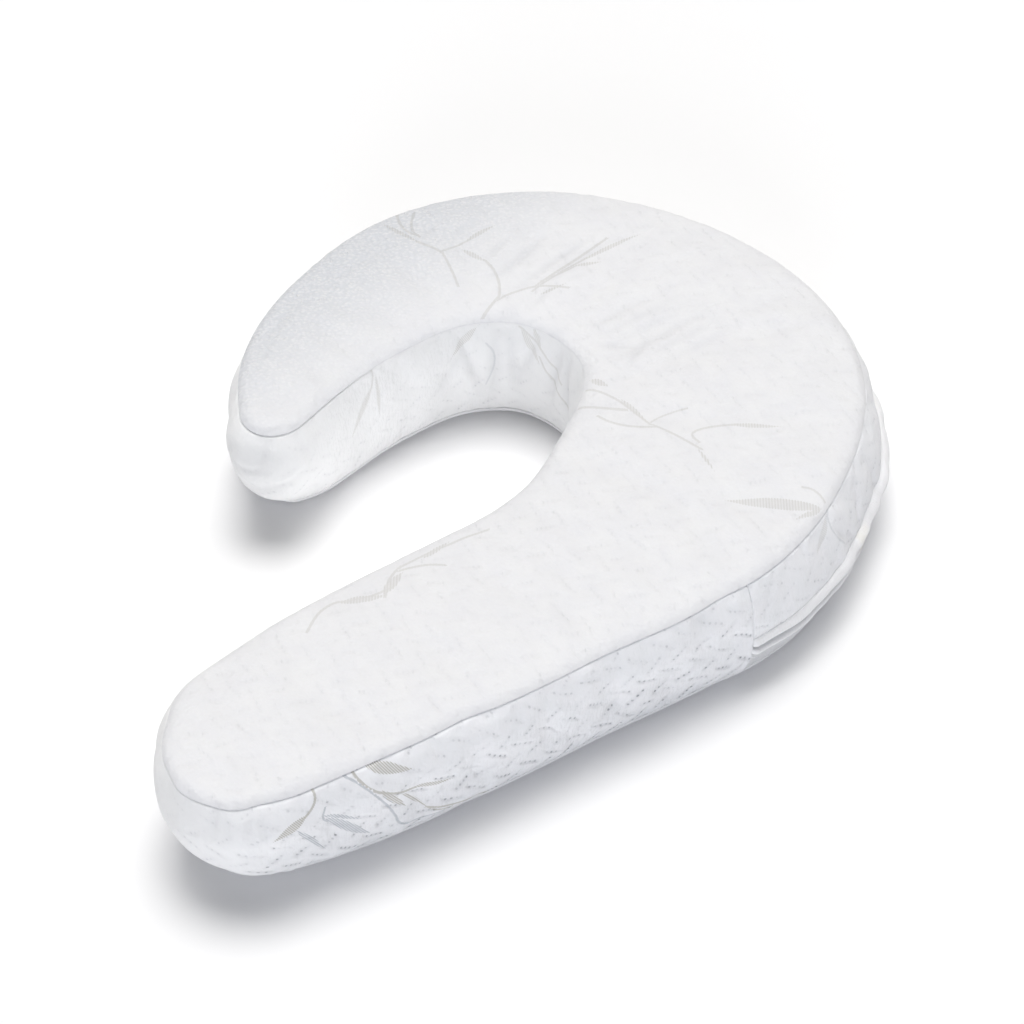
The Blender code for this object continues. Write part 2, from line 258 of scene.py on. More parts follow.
# Where the top seam is drawn further in than it was cut: at, over what length, how far.
Draw = namedtuple("Draw", "at reach depth")
SEAM_DRAWS = [Draw(2012, 22, 3.6), Draw(12, 12, -3.0), Draw(66, 16, 4.2), Draw(150, 90, 2.6),
              Draw(205, 18, 2.0), Draw(305, 30, 1.4), Draw(395, 16, 1.8), Draw(1283, 22, 2.0),
              Draw(38, 7, 0.8)]
for draw in SEAM_DRAWS:
    share = np.exp(-(along_from(PLACES, draw.at) / draw.reach) ** 2)
    SEAM = SEAM - OUT * (draw.depth * share)[:, None]


def round_the_seam(values, places):
    """Values kept at even steps round the seam, read at any places along it."""
    at = np.asarray(places) % LENGTH / LENGTH * COUNT
    low = np.floor(at).astype(int)
    share = (at - low).reshape((-1,) + (1,) * (values.ndim - 1))
    return values[low % COUNT] * (1 - share) + values[(low + 1) % COUNT] * share


def notch(places):
    """How much of its full notch the top seam has at each place."""
    places = np.asarray(places) % LENGTH
    into = np.minimum(places - INNER_FROM, INNER_TO - places)
    return 1 - (1 - INNER_NOTCH) * smooth(into / NOTCH_RAMP)


def reach_of(node):
    """Where along the seam a node on the outer curve starts and ends."""
    places = nearest_on(SEAM, corners_of(node)[:, :2])[1]
    return float(places.min()), float(places.max())


ZIP_FROM, ZIP_TO = reach_of("placket_upper")
STRIPS_FROM, STRIPS_TO = reach_of("zip_band_upper")
# The band's ends lap the zip strips by this much, which sink under them over a ramp, and
# come up again over an edge.
LAP = ZIP_FROM - STRIPS_FROM
LAP_RAMP = 8.0
LAP_EDGE = 1.4


def hem_heights():
    """The height of the band's hem all round: level, and lifted towards the tips."""
    band = tree_of("side_band", "zip_band_lower")
    found = np.full(COUNT, np.nan)
    for height in np.arange(BOTTOM_SEAM, BOTTOM_SEAM + HEM_LIFT, HEM_STEP):
        for i in np.flatnonzero(np.isnan(found)):
            start = Vector((*(SEAM[i] + OUT[i] * RAY_START), height))
            if band.ray_cast(start, Vector((*-OUT[i], 0)), RAY_REACH)[0]:
                found[i] = height - HEM_STEP
    known = ~np.isnan(found)
    return eased(np.interp(PLACES, PLACES[known], found[known], period=LENGTH), reach=10.0)


HEM = hem_heights()


def form_shares(up):
    """Belly, lean and tuck of the band's face at a share of the way up it."""
    down = 1 - up
    return np.stack([1 - abs(2 * down - 1) ** BELLY_POWER,
                     1 - (1 - down) ** LEAN_POWER,
                     -down ** TUCK_POWER])


def face_form():
    """How far the band bellies, leans and tucks at each place, fitted to the CAD."""
    face = tree_of("side_band", "zip_band_upper", "zip_band_lower", "filled_pillow")
    up = (MEASURED_HEIGHTS - BOTTOM_SEAM) / FACE
    found = np.full((COUNT, len(up)), np.nan)
    for i in range(COUNT):
        start = SEAM[i] + OUT[i] * RAY_START
        for k, share in enumerate(up):
            height = HEM[i] + share * (TOP_SEAM - HEM[i])
            hit = face.ray_cast(Vector((*start, height)), Vector((*-OUT[i], 0)), RAY_REACH)
            if hit[0]:
                found[i, k] = RAY_START - hit[3]
    to_seam = np.minimum(TOP_SEAM - MEASURED_HEIGHTS, MEASURED_HEIGHTS - BOTTOM_SEAM)
    found += CAD_SEAM_DEPTH * np.exp(-(to_seam / CAD_SEAM_REACH) ** 2)
    known = ~np.isnan(found).any(axis=1)
    for start, end in ((STRIPS_FROM - PAST_STRIP, ZIP_FROM + PAST_ZIP),
                       (ZIP_TO - PAST_ZIP, STRIPS_TO + PAST_STRIP)):
        known &= (PLACES <= start) | (PLACES >= end)
    shares = form_shares(up)
    fitted = found[known] @ np.linalg.pinv(shares)
    filled = np.stack([np.interp(PLACES, PLACES[known], fitted[:, k], period=LENGTH)
                       for k in range(3)], axis=1)
    return eased(filled, reach=7.0)


FORM = face_form()


def face_out(places, up):
    """How far outside the top seam the band's face lies, before its seams draw it in."""
    return (round_the_seam(FORM, places) * form_shares(up).T).sum(axis=1)


# Creases and dents drawn into the band, and where it swells: where along it and how high,
# half the length and half the width, degrees over from upright, and how deep.
Crease = namedtuple("Crease", "place height long wide turn depth")
CREASE_FADE = 3.5
BAND_CREASES = [
    Crease(2020, 52, 34, 20, 0, 3.2),
    Crease(10, 36, 34, 30, 0, -3.2),
    Crease(38, 81, 9, 2.4, 8, 1.3),
    Crease(45, 79, 8, 2.0, -4, 0.8),
    Crease(59, 82, 10, 2.2, 12, 1.2),
    Crease(66, 78, 12, 2.4, -8, 1.2),
    Crease(376, 86, 7, 6.0, 0, 1.2),
    Crease(430, 76, 13, 2.2, 28, 0.9),
    Crease(506, 66, 17, 2.2, -32, 1.3),
    Crease(516, 58, 12, 2.0, -40, 1.0),
    Crease(534, 60, 18, 2.6, 14, 1.0),
    Crease(566, 64, 20, 3.0, -12, 0.9),
    Crease(1238, 50, 36, 16, 0, -3.6),
    Crease(1280, 38, 32, 20, 0, 2.2),
    Crease(1303, 64, 14, 2.6, 74, 1.1),
    Crease(1316, 80, 12, 2.6, 10, 1.0),
    Crease(1322, 52, 16, 3.0, 62, 1.1),
    Crease(1338, 76, 14, 3.0, -14, 0.8),
    Crease(1478, 58, 16, 3.5, 34, 1.5),
    Crease(1492, 60, 24, 3.5, -18, 1.8),
    Crease(1510, 56, 28, 4.5, 3, 2.6),
    Crease(1524, 60, 24, 4.0, -8, 1.8),
    Crease(1536, 66, 20, 3.5, 20, 1.8),
    Crease(1560, 62, 26, 4.0, 8, 2.4),
    Crease(1574, 58, 28, 4.5, -4, 2.6),
    Crease(1690, 58, 26, 5.0, 5, 1.6),
    Crease(1850, 60, 24, 5.0, -6, 1.4),
]


def creased(places, heights, creases=BAND_CREASES):
    """How far the band's creases draw its face in, less near its seams."""
    depth = np.zeros(len(places))
    for crease in creases:
        along, up = along_from(places, crease.place), heights - crease.height
        turn = radians(crease.turn)
        down_it = (up * cos(turn) + along * sin(turn)) / crease.long
        over_it = (along * cos(turn) - up * sin(turn)) / crease.wide
        depth += crease.depth * np.exp(-down_it ** 2 - over_it ** 2)
    to_seam = np.clip(np.minimum(TOP_SEAM - heights, heights - BOTTOM_SEAM), 0, None)
    return depth * (1 - np.exp(-(to_seam / CREASE_FADE) ** 2))


def waves(points, length, seed):
    """Slow random waves of about one unit from trough to crest, over points in space."""
    return np.array([noise.noise(Vector(point) / length + Vector((seed, 0, 0)))
                     for point in points])


def slack(points, to_seam):
    """How unevenly the cloth lies: slow waves all over, and small gathers at its seams.

    Each line says how high its waves are, how long, which ones, and how near a seam."""
    return (1.5 * waves(points, 42.0, 3) * smooth(to_seam / 14.0)
            + 0.7 * waves(points, 15.0, 11) * smooth(to_seam / 6.0)
            + 1.1 * waves(points, 6.0, 29) * np.exp(-((to_seam - 4.0) / 4.0) ** 2)
            + 0.5 * waves(points, 8.0, 17) * np.exp(-(to_seam / 3.0) ** 2))


def on_face(places, up, out):
    """Points on the band: places along it, shares of the way up, and how far proud."""
    places, up, out = np.broadcast_arrays(places, up, out)
    hem = round_the_seam(HEM, places)
    height = hem + up * (TOP_SEAM - hem)
    base = np.column_stack([round_the_seam(SEAM, places), height * 0.5])
    away = slack(base, np.minimum(up, 1 - up) * FACE)
    away += face_out(places, up) + out - creased(places, height)
    plan = base[:, :2] + round_the_seam(OUT, places) * away[:, None]
    return np.column_stack([plan, height])


def lapped(places):
    """1 where the plain band's ends lap over the zip strips, and 0 past them."""
    places = np.asarray(places, float) % LENGTH
    into = np.minimum(places - STRIPS_FROM, STRIPS_TO - places)
    return smooth(1 + into / LAP_RAMP) * (1 - smooth((into - LAP) / LAP_EDGE))


def sunk(places, up):
    """The zip strips go down by a cloth's thickness to pass under the band's ends."""
    return -(CLOTH + GAP) * lapped(places) + 0 * up


# ---------------------------------------------------------------- making meshes
def put_in_scene(name, data):
    """A new object in the scene, at the origin, for a mesh, a light or a camera."""
    thing = bpy.data.objects.new(name, data)
    bpy.context.scene.collection.objects.link(thing)
    return thing


# A row inside a ring leaves out points that come nearer to it than this share of the row's
# inset, and the even grid starts this share of its pitch past the last row.
ROW_CLEAR, GRID_CLEAR = 0.97, 0.6


def make_piece(name, points, faces):
    """A mesh piece from points in millimetres."""
    mesh = bpy.data.meshes.new(name)
    mesh.from_pydata((np.asarray(points) * MM).tolist(), [], faces)
    mesh.validate()
    mesh.shade_smooth()
    return put_in_scene(name, mesh)


def woven_faces(rows, columns, closed=False, first=0):
    """Quads over a grid of points kept row by row."""
    across = columns if closed else columns - 1
    i, k = np.meshgrid(np.arange(rows - 1), np.arange(across), indexing="ij")
    after = (k + 1) % columns
    quads = np.stack([i * columns + k, (i + 1) * columns + k,
                      (i + 1) * columns + after, i * columns + after], axis=-1)
    return (quads.reshape(-1, 4) + first).tolist()


def fill_inside(ring, line, insets, grid):
    """Triangles inside a closed ring: rows that follow it, and an even grid within.

    Gives the plan of every point, the ring's own first, and the triangles."""
    start = nearest_on(line, ring)[0].mean()
    plan = [ring]
    for k, inset in enumerate(insets):
        row = (line - outward(line) * inset)[:: 1 if k < 2 else 2]
        gap, _, inside = nearest_on(line, row)
        plan.append(row[inside & (gap > inset * ROW_CLEAR)])
    low, high = ring.min(axis=0), ring.max(axis=0)
    tall = grid * sin(pi / 3)
    points = np.array([(x + (j % 2) * grid / 2, low[1] + j * tall)
                       for j in range(int((high[1] - low[1]) / tall) + 1)
                       for x in np.arange(low[0], high[0], grid)])
    gap, _, inside = nearest_on(line, points)
    room = (insets[-1] if insets else start) + grid * GRID_CLEAR
    plan.append(points[inside & (gap > room)])
    plan = np.concatenate(plan)
    count = len(ring)
    ring_edges = [(k, (k + 1) % count) for k in range(count)]
    found = geometry.delaunay_2d_cdt([Vector(p) for p in plan], ring_edges, [], 1, 1e-6)
    return np.array([tuple(p) for p in found[0]]), [list(f) for f in found[2]]


# ---------------------------------------------------------------- the filled cover
def crown_height(gap):
    return (CROWN - WIDE_FALL * np.exp(-gap / WIDE_REACH)
            - ROLL_FALL * np.exp(-gap / ROLL_REACH))


# Small puckers and soft folds in the top, placed in plan: half their length and half their
# width, degrees round from the pillow's length, and how deep.
Pucker = namedtuple("Pucker", "x y long wide turn depth")
TOP_PUCKERS = [
    Pucker(82, 181, 9, 2.4, 22, 1.0),
    Pucker(101, 169, 10, 2.4, 22, 1.3),
    Pucker(111, 140, 11, 2.4, 20, 1.2),
    Pucker(128, 127, 11, 2.4, 20, 1.2),
    Pucker(114, 121, 18, 3.2, 16, 0.9),
    Pucker(140, 107, 28, 2.4, 12, 1.1),
    Pucker(150, 98, 26, 3.0, 12, 1.0),
    Pucker(113, 82, 9, 2.4, 22, 0.9),
    Pucker(139, 2, 16, 3.0, 30, 0.9),
    Pucker(131, 14, 14, 3.0, -40, 0.8),
    Pucker(-60, 150, 22, 5.0, 38, 0.8),
    Pucker(30, 178, 26, 6.0, 12, 0.8),
]
# The cloth beside the hollow's end lies in a row of faint ripples.
TOP_PUCKERS += [Pucker(150 + 5 * k, 40 - 11 * k, 24, 3.4, 2, 0.6) for k in range(6)]


def puckered(points):
    """How far the top's puckers draw it down."""
    depth = np.zeros(len(points))
    for fold in TOP_PUCKERS:
        turn = radians(fold.turn)
        x, y = points[:, 0] - fold.x, points[:, 1] - fold.y
        along = (x * cos(turn) + y * sin(turn)) / fold.long
        across = (y * cos(turn) - x * sin(turn)) / fold.wide
        depth += fold.depth * np.exp(-along ** 2 - across ** 2)
    return depth


def build_filled_cover():
    """Top, hidden wall and underside of the filled cover, as one closed form."""
    rows = []
    for row in TOP_ROLL:
        inset = np.full(COUNT, row.inset)
        if row.height < IN_NOTCH:
            inset = LEAST_INSET + (row.inset - LEAST_INSET) * notch(PLACES)
        rows.append(np.column_stack([SEAM - OUT * inset[:, None],
                                     np.full(COUNT, row.height)]))
    for up in WALL_ROWS:
        rows.append(on_face(PLACES, up,
                            -(CLOTH + GAP) * (1 + lapped(PLACES)) - WALL_CLEAR))
    foot = SEAM + OUT * face_out(PLACES, 0.0)[:, None]
    lift = HEM - BOTTOM_SEAM
    room = np.clip(round_room(), LEAST_ROLL, 1.0)
    axis = eased(OUT, reach=40.0)
    axis /= np.hypot(*axis.T)[:, None]
    for row in BOTTOM_ROLL:
        inset = row.inset * (room if row.inset > NARROW_INSET else 1.0)
        kept = smooth((row.height - NOT_LIFTED) / (ALL_LIFTED - NOT_LIFTED))
        plan = foot - OUT * np.broadcast_to(inset, COUNT)[:, None]
        plan = plan - axis * (lift * row.back)[:, None]
        rows.append(np.column_stack([plan, row.height + lift * kept]))
    points = np.concatenate(rows)
    faces = woven_faces(len(rows), COUNT, closed=True)
    plan, inner = fill_inside(SEAM - OUT * TOP_ROLL[0].inset, SEAM, TOP_INSETS, TOP_GRID)
    gap = nearest_on(SEAM, plan)[0]
    top = np.column_stack([plan, crown_height(gap)])
    top[:, 2] += TOP_UNEVEN * slack(top, gap) - puckered(top)
    top[:COUNT, 2] = TOP_ROLL[0].height
    faces += renumbered(inner, 0, len(points), COUNT)
    points = np.concatenate([points, top[COUNT:]])
    last = (len(rows) - 1) * COUNT
    foot_ring = rows[-1][:, :2]
    plan, inner = fill_inside(foot_ring, foot_ring, (), BOTTOM_GRID)
    faces += [face[::-1] for face in renumbered(inner, last, len(points), COUNT)]
    points = np.concatenate([points, np.column_stack([plan, np.zeros(len(plan))])[COUNT:]])
    return make_piece("filled_cover", points, faces)


def renumbered(faces, ring_first, rest_first, count):
    """Faces of a filled ring, joined to the ring's own points in a bigger list."""
    return [[ring_first + k if k < count else rest_first + k - count for k in face]
            for face in faces]


def round_room():
    """Share of the underside's full roll that fits at each place, least at the tips."""
    gap = nearest_on(SEAM, SEAM - OUT * ROLL_ROOM)[0]
    return eased(np.clip(gap / ROLL_ROOM, 0, 1), reach=10.0)


# ---------------------------------------------------------------- the band
# How far from a seam its close rows lie, and the pitch of the rows beyond them.
CLOSE_ROWS = np.array([0.2, 0.45, 0.7, 1.0, 1.35, 1.9, 2.8, 4.2, 6.0, 8.0])
ROW_PITCH = 2.2
# How far from an end of the zip its close columns lie, and how near to one of them, or to
# the end of a strip, another may stand.
CLOSE_COLUMNS = np.array([0.0, 0.4, 0.8, 1.2, 1.6, 2.2, 2.8, 3.4, 4.0])
CLOSEST_COLUMN, CLOSEST_END = 0.5, 0.2
# The turned hem of the plain band's ends, and how the end lifts towards it. Above the zip
# only a share of both is left, past a fade.
HEM_WIDTH = 2.4
HEM_PROUD = 0.6
END_LIFT, END_REACH = 0.5, 14.0
ABOVE_ZIP, ABOVE_ZIP_FADE = 0.1, 8.0


def rows_up(foot, head):
    """Shares of the way up the band for the rows of a strip, close together at a seam."""
    heights = [TOP_SEAM - d for d in CLOSE_ROWS] if head >= TOP_SEAM else [head]
    low = [BOTTOM_SEAM + d for d in CLOSE_ROWS[::-1]] if foot <= BOTTOM_SEAM else [foot]
    plain = np.arange(heights[-1] - ROW_PITCH, low[0] + ROW_PITCH * 0.5, -ROW_PITCH)
    heights = np.concatenate([heights, plain, low])
    return (heights - BOTTOM_SEAM) / FACE


def seam_pull(places, up):
    """How far the seams draw the face in, at a share of the way up it."""
    from_top, from_foot = (FACE * share for share in (1 - up, up))
    return (SEAM_DEPTH * notch(places) * np.exp(-(from_top / SEAM_REACH) ** 2)
            + FOOT_SEAM_DEPTH * np.exp(-(from_foot / SEAM_REACH) ** 2))


def columns(start, end):
    """Places for the columns of a strip, close together where the band's ends lap it."""
    ends = np.concatenate([turn * LENGTH + at + side * CLOSE_COLUMNS
                           for at in (ZIP_FROM, ZIP_TO)
                           for side in (-1, 1) for turn in (0, 1)])
    plain = np.linspace(start, end, int(round((end - start) / STEP)) + 1)
    ends = np.unique(ends[(ends > start + CLOSEST_END) & (ends < end - CLOSEST_END)])
    spaced = [at for at in plain
              if not len(ends) or np.abs(ends - at).min() > CLOSEST_COLUMN]
    return np.sort(np.concatenate([[start], spaced[1:-1], [end], ends]))


def build_strip(name, start, end, foot, head, proud):
    """A strip of the band between two places and two heights, with its UV map."""
    up = rows_up(foot, head)
    places = columns(start, end)
    grid_up, grid_place = (part.ravel() for part in
                           np.meshgrid(up, places, indexing="ij"))
    out = -seam_pull(grid_place, grid_up) + proud(grid_place, grid_up)
    from_top = FACE * (1 - grid_up)
    tuck = TUCKED_UP * (1 - notch(grid_place)) * np.exp(-(from_top / SEAM_REACH) ** 2)
    points = on_face(grid_place, grid_up + tuck / FACE, out)
    faces = woven_faces(len(up), len(places))
    piece = make_piece(name, points, faces)
    lay_cloth(piece, np.column_stack([grid_place, points[:, 2]]))
    thicken(piece, BAND_CLOTH)
    return piece


def vertex_at_corners(piece):
    """The vertex at each corner of each face."""
    corners = np.empty(len(piece.data.loops), int)
    piece.data.loops.foreach_get("vertex_index", corners)
    return corners


def lay_cloth(piece, flat):
    """The cloth map of a piece: millimetres along the band and up it, kept as metres."""
    layer = piece.data.uv_layers.new(name="cloth")
    layer.data.foreach_set("uv", (flat[vertex_at_corners(piece)] * MM).ravel())


def along_the_band(piece):
    """Where each vertex of a strip lies along the band and up it, in millimetres."""
    corners = vertex_at_corners(piece)
    laid = np.empty(len(corners) * 2)
    piece.data.uv_layers["cloth"].data.foreach_get("uv", laid)
    flat = np.empty((len(piece.data.vertices), 2))
    flat[corners] = laid.reshape(-1, 2) / MM
    flat[:, 0] %= LENGTH
    return flat


def apply_modifier(piece, modifier):
    bpy.ops.object.select_all(action="DESELECT")
    bpy.context.view_layer.objects.active = piece
    piece.select_set(True)
    bpy.ops.object.modifier_apply(modifier=modifier.name)
    piece.select_set(False)


def thicken(piece, thickness):
    """Give a sheet its thickness inwards from its face, and apply it."""
    solidify = piece.modifiers.new("thickness", "SOLIDIFY")
    solidify.thickness = thickness * MM
    solidify.offset = -1.0
    solidify.use_even_offset = False
    apply_modifier(piece, solidify)


def hem_end(places, up):
    """The plain band's ends stand proud by their turned hem, most where they cross the zip."""
    from_end = np.minimum((places - ZIP_TO) % LENGTH, (ZIP_FROM - places) % LENGTH)
    height = BOTTOM_SEAM + up * FACE
    over_zip = 1 - smooth((height - UPPER_STRIP_FOOT) / ABOVE_ZIP_FADE)
    turned = 1 - smooth(from_end - HEM_WIDTH)
    lift = HEM_PROUD * turned + END_LIFT * (1 - smooth(from_end / END_REACH))
    return lift * (ABOVE_ZIP + (1 - ABOVE_ZIP) * over_zip)


# ---------------------------------------------------------------- the folded flaps
# Points round the section of each fold: how far out from the band, and how high.
Fold = namedtuple("Fold", "out height")
UPPER_FOLD = [Fold(-1.6, 45.6), Fold(-0.4, 45.8), Fold(2.8, 45.2), Fold(5.6, 42.8),
              Fold(6.4, 40.8), Fold(5.2, 39.4), Fold(2.0, 39.8), Fold(-1.6, 40.0)]
LOWER_FOLD = [Fold(-1.6, 36.4), Fold(-0.4, 36.4), Fold(2.8, 35.8), Fold(4.6, 33.8),
              Fold(3.8, 32.2), Fold(0.4, 31.2), Fold(-1.6, 30.8)]
# At its ends a fold stands out by only this share, and comes up to its full self over a
# ramp. It is flat by this far under the band's ends, and runs on under them.
FOLD_AT_END = 0.5
LOWER_FOLD_AT_END = 0.95
FOLD_RAMP = 170.0
FLAT_UNDER = 1.5
RUN_UNDER = 4.0
# It waves up and down by its full rise this far out, and less further in.
WAVE_LENGTH = 53.0
WAVE_RISE = 0.8
FOLD_EDGE = 6.0
FOLD_CLOTH = 1.0
# Rows round a flap, how far apart its columns are, and how its section is rounded: points
# along it, and how often each is averaged with its neighbours.
FOLD_ROWS = 18
FOLD_STEP = 1.6
SECTION_POINTS, ROUNDINGS = 200, 60


def rounded(fold, count):
    """The section of a fold as a smooth line of this many points, and its length."""
    knots = np.array(fold)
    along = np.arange(len(knots))
    dense = np.linspace(0, len(knots) - 1, SECTION_POINTS)
    line = np.stack([np.interp(dense, along, knots[:, k]) for k in (0, 1)], axis=1)
    for _ in range(ROUNDINGS):
        line[1:-1] = (line[:-2] + 2 * line[1:-1] + line[2:]) / 4
    arc = np.concatenate([[0], np.cumsum(np.hypot(*np.diff(line, axis=0).T))])
    at = np.linspace(0, arc[-1], count)
    return (np.stack([np.interp(at, arc, line[:, k]) for k in (0, 1)], axis=1),
            float(arc[-1]))


def build_flap(name, fold, at_end):
    """One folded flap that stands out from the band over the zip."""
    section, width = rounded(fold, FOLD_ROWS)
    places = np.linspace(ZIP_FROM - RUN_UNDER, ZIP_TO + RUN_UNDER,
                         int((ZIP_TO - ZIP_FROM) / FOLD_STEP))
    from_end = np.minimum(places - ZIP_FROM, ZIP_TO - places)
    full = at_end + (1 - at_end) * smooth(from_end / FOLD_RAMP)
    full *= smooth((from_end + FLAT_UNDER) / (2 * FLAT_UNDER))
    wave = WAVE_RISE * np.sin(2 * pi * (places - ZIP_FROM) / WAVE_LENGTH)
    points, flat = [], []
    for k, (out, height) in enumerate(section):
        proud = max(out, 0.0)
        up = (height + wave * proud / FOLD_EDGE - BOTTOM_SEAM) / FACE
        points.append(on_face(places, up, out - proud + proud * full + sunk(places, up)))
        round_it = np.full(len(places), width * k / (FOLD_ROWS - 1))
        flat.append(np.column_stack([places, round_it]))
    faces = woven_faces(len(section), len(places))
    piece = make_piece(name, np.concatenate(points), faces)
    lay_cloth(piece, np.concatenate(flat))
    thicken(piece, FOLD_CLOTH)
    return piece, width


# The zip strips are cut this much shorter at each end than the CAD's.
CUT_SHORT = 0.5
cover = build_filled_cover()
band = build_strip("boxed_band", ZIP_TO, ZIP_FROM + LENGTH, BOTTOM_SEAM, TOP_SEAM, hem_end)
upper_strip = build_strip("upper_zip_strip", STRIPS_FROM + CUT_SHORT, STRIPS_TO - CUT_SHORT,
                          UPPER_STRIP_FOOT, TOP_SEAM, sunk)
lower_strip = build_strip("lower_zip_strip", STRIPS_FROM + CUT_SHORT, STRIPS_TO - CUT_SHORT,
                          BOTTOM_SEAM, LOWER_STRIP_HEAD, sunk)
upper_flap, upper_width = build_flap("upper_zip_flap", UPPER_FOLD, FOLD_AT_END)
lower_flap, lower_width = build_flap("lower_zip_flap", LOWER_FOLD, LOWER_FOLD_AT_END)


# ---------------------------------------------------------------- the cloth, settled
# The trial cover's mesh and the simulation: how even the mesh is, the filling's pressure,
# how much longer the cloth is than the form it lies on, and how many steps it settles for.
VOXEL = 5.0
PRESSURE = 4.0
LOOSENESS = 0.04
SETTLE_STEPS = 20
# How far from a seam the cloth is held by it, and how far it may move elsewhere.
HELD_BY_SEAM = 5.0
MOST_MOVED = 1.0
# A fold is what stands out from the cloth's move evened over this many steps. It is
# softened over two, and each vertex takes it from this many of the trial's points, those
# within about this many millimetres counting most.
FOLD_STEPS, SOFTENING_STEPS = 60, 2
POINTS_NEAR = 12
CARRIED_OVER = 4.0


def trial_cover():
    """A copy of the cover in one even mesh, pinned along its seams and where it rests."""
    trial = put_in_scene("trial_cover", cover.data.copy())
    even = trial.modifiers.new("even", "REMESH")
    even.mode = "VOXEL"
    even.voxel_size = VOXEL * MM
    apply_modifier(trial, even)
    points = points_of(trial)
    to_seam = np.hypot(nearest_on(SEAM, points[:, :2])[0], points[:, 2] - TOP_SEAM)
    held = (to_seam < HELD_BY_SEAM) | (points[:, 2] < BOTTOM_SEAM + HELD_BY_SEAM)
    trial.vertex_groups.new(name="held").add(np.flatnonzero(held).tolist(), 1.0, "REPLACE")
    return trial, points


def evened(values, edges, steps):
    """Values at the points of a mesh, each step averaged with their neighbours'."""
    count = len(values)
    both = np.concatenate([edges, edges[:, ::-1]])
    around = np.bincount(both[:, 0], minlength=count)
    for _ in range(steps):
        total = np.stack([np.bincount(both[:, 0], values[both[:, 1], k], count)
                          for k in range(values.shape[1])], axis=1)
        values = 0.5 * values + 0.5 * total / np.maximum(around, 1)[:, None]
    return values


def settle_cloth(pieces):
    """Let slack cloth find its small folds over the filling, and carry them to the pieces.

    The swell that the filling gives is in the CAD's own form, so only what the cloth does
    within it is carried over, square to the surface."""
    trial, points = trial_cover()
    cloth = trial.modifiers.new("cloth", "CLOTH")
    cloth.settings.use_pressure = True
    cloth.settings.uniform_pressure_force = PRESSURE
    cloth.settings.shrink_min = -LOOSENESS
    cloth.settings.vertex_group_mass = "held"
    cloth.settings.effector_weights.gravity = 0
    cloth.point_cache.frame_start = 1
    cloth.point_cache.frame_end = SETTLE_STEPS
    for step in range(1, SETTLE_STEPS + 1):
        bpy.context.scene.frame_set(step)
    settled = trial.evaluated_get(bpy.context.evaluated_depsgraph_get())
    moved = points_of(settled) - points
    normals = np.array([vertex.normal for vertex in trial.data.vertices])
    edges = np.array([edge.vertices[:] for edge in trial.data.edges])
    folds = moved - evened(moved, edges, FOLD_STEPS)
    rise = (folds * normals).sum(axis=1)
    rise = MOST_MOVED * np.tanh(rise / MOST_MOVED)
    folds = evened(normals * rise[:, None], edges, SOFTENING_STEPS)
    bpy.data.objects.remove(trial)
    bpy.context.scene.frame_set(1)

    tree = KDTree(len(points))
    for k, point in enumerate(points):
        tree.insert(point, k)
    tree.balance()
    for piece in pieces:
        for vertex in piece.data.vertices:
            near = tree.find_n(vertex.co / MM, POINTS_NEAR)
            shares = np.exp([-(gap / CARRIED_OVER) ** 2 for _, _, gap in near])
            move = shares @ folds[[k for _, k, _ in near]] / shares.sum()
            vertex.co += Vector(move) * MM
        piece.data.update()


settle_cloth((cover, band, upper_strip, lower_strip, upper_flap, lower_flap))


# ---------------------------------------------------------------- woven leaf sprigs
# Leaves and stems of a darker thread in the cloth, in millimetres. On the top they are
# placed in plan, and on the band by how far along it and how high they lie. The thread is
# "beige" unless it is given as "grey".
Leaf = namedtuple("Leaf", "base tip width thread", defaults=("beige",))
Stem = namedtuple("Stem", "start middle end width thread", defaults=("beige",))

TOP_LEAVES = [
    Leaf((-144, -87), (-116, -99), 6),
    Leaf((-118, -97), (-97, -86), 7),
    Leaf((-80, -82), (-58, -78), 4),
    Leaf((56, 205), (67, 171), 4),
    Leaf((95, 157), (122, 161), 4),
    Leaf((89, 151), (97, 131), 4),
    Leaf((155, 98), (205, 100), 4),
    Leaf((147, 95), (165, 89), 3.5),
    Leaf((112, 84), (132, 83), 2.5),
    Leaf((98, -2), (104, -15), 5.5),
    Leaf((104, -31), (107, -57), 4),
    Leaf((121, -97), (119, -119), 2.5),
    Leaf((152, -90), (180, -108), 4),
    Leaf((164, -180), (111, -143), 9.5),
    Leaf((163, -179), (141, -179), 4),
]
TOP_STEMS = [
    Stem((-172, -97), (-156, -87), (-144, -86), 1),
    Stem((-144, -86), (-130, -92), (-112, -95), 1),
    Stem((-117, -98), (-107, -87), (-96, -81), 1),
    Stem((-96, -81), (-66, -80), (-34, -83), 0.9),
    Stem((-98, -84), (-85, -87), (-73, -94), 0.9),
    Stem((67, 172), (73, 160), (75, 153), 1.1),
    Stem((75, 155), (72, 138), (68, 122), 0.9),
    Stem((75, 156), (84, 156), (97, 157), 0.9),
    Stem((97, 131), (95, 112), (85, 96), 1),
    Stem((86, 98), (76, 93), (66, 88), 1.1),
    Stem((85, 96), (108, 94), (130, 80), 0.9),
    Stem((112, 92), (140, 98), (180, 107), 0.9),
    Stem((111, 90), (130, 94), (156, 98), 0.9),
    Stem((120, 94), (134, 94), (148, 95), 0.9),
    Stem((91, -8), (101, -28), (107, -61), 0.9),
    Stem((78, -20), (90, -31), (102, -41), 1.1),
    Stem((83, -37), (92, -53), (109, -65), 0.9),
    Stem((109, -64), (116, -79), (122, -96), 0.9),
    Stem((107, -60), (119, -58), (134, -61), 0.7),
    Stem((125, -90), (130, -82), (154, -91), 0.9),
    Stem((163, -160), (167, -166), (168, -177), 0.8),
    Stem((70, 180), (71, 190), (80, 203), 1.0),
    Stem((70, 181), (66, 193), (70, 209), 1.0),
]
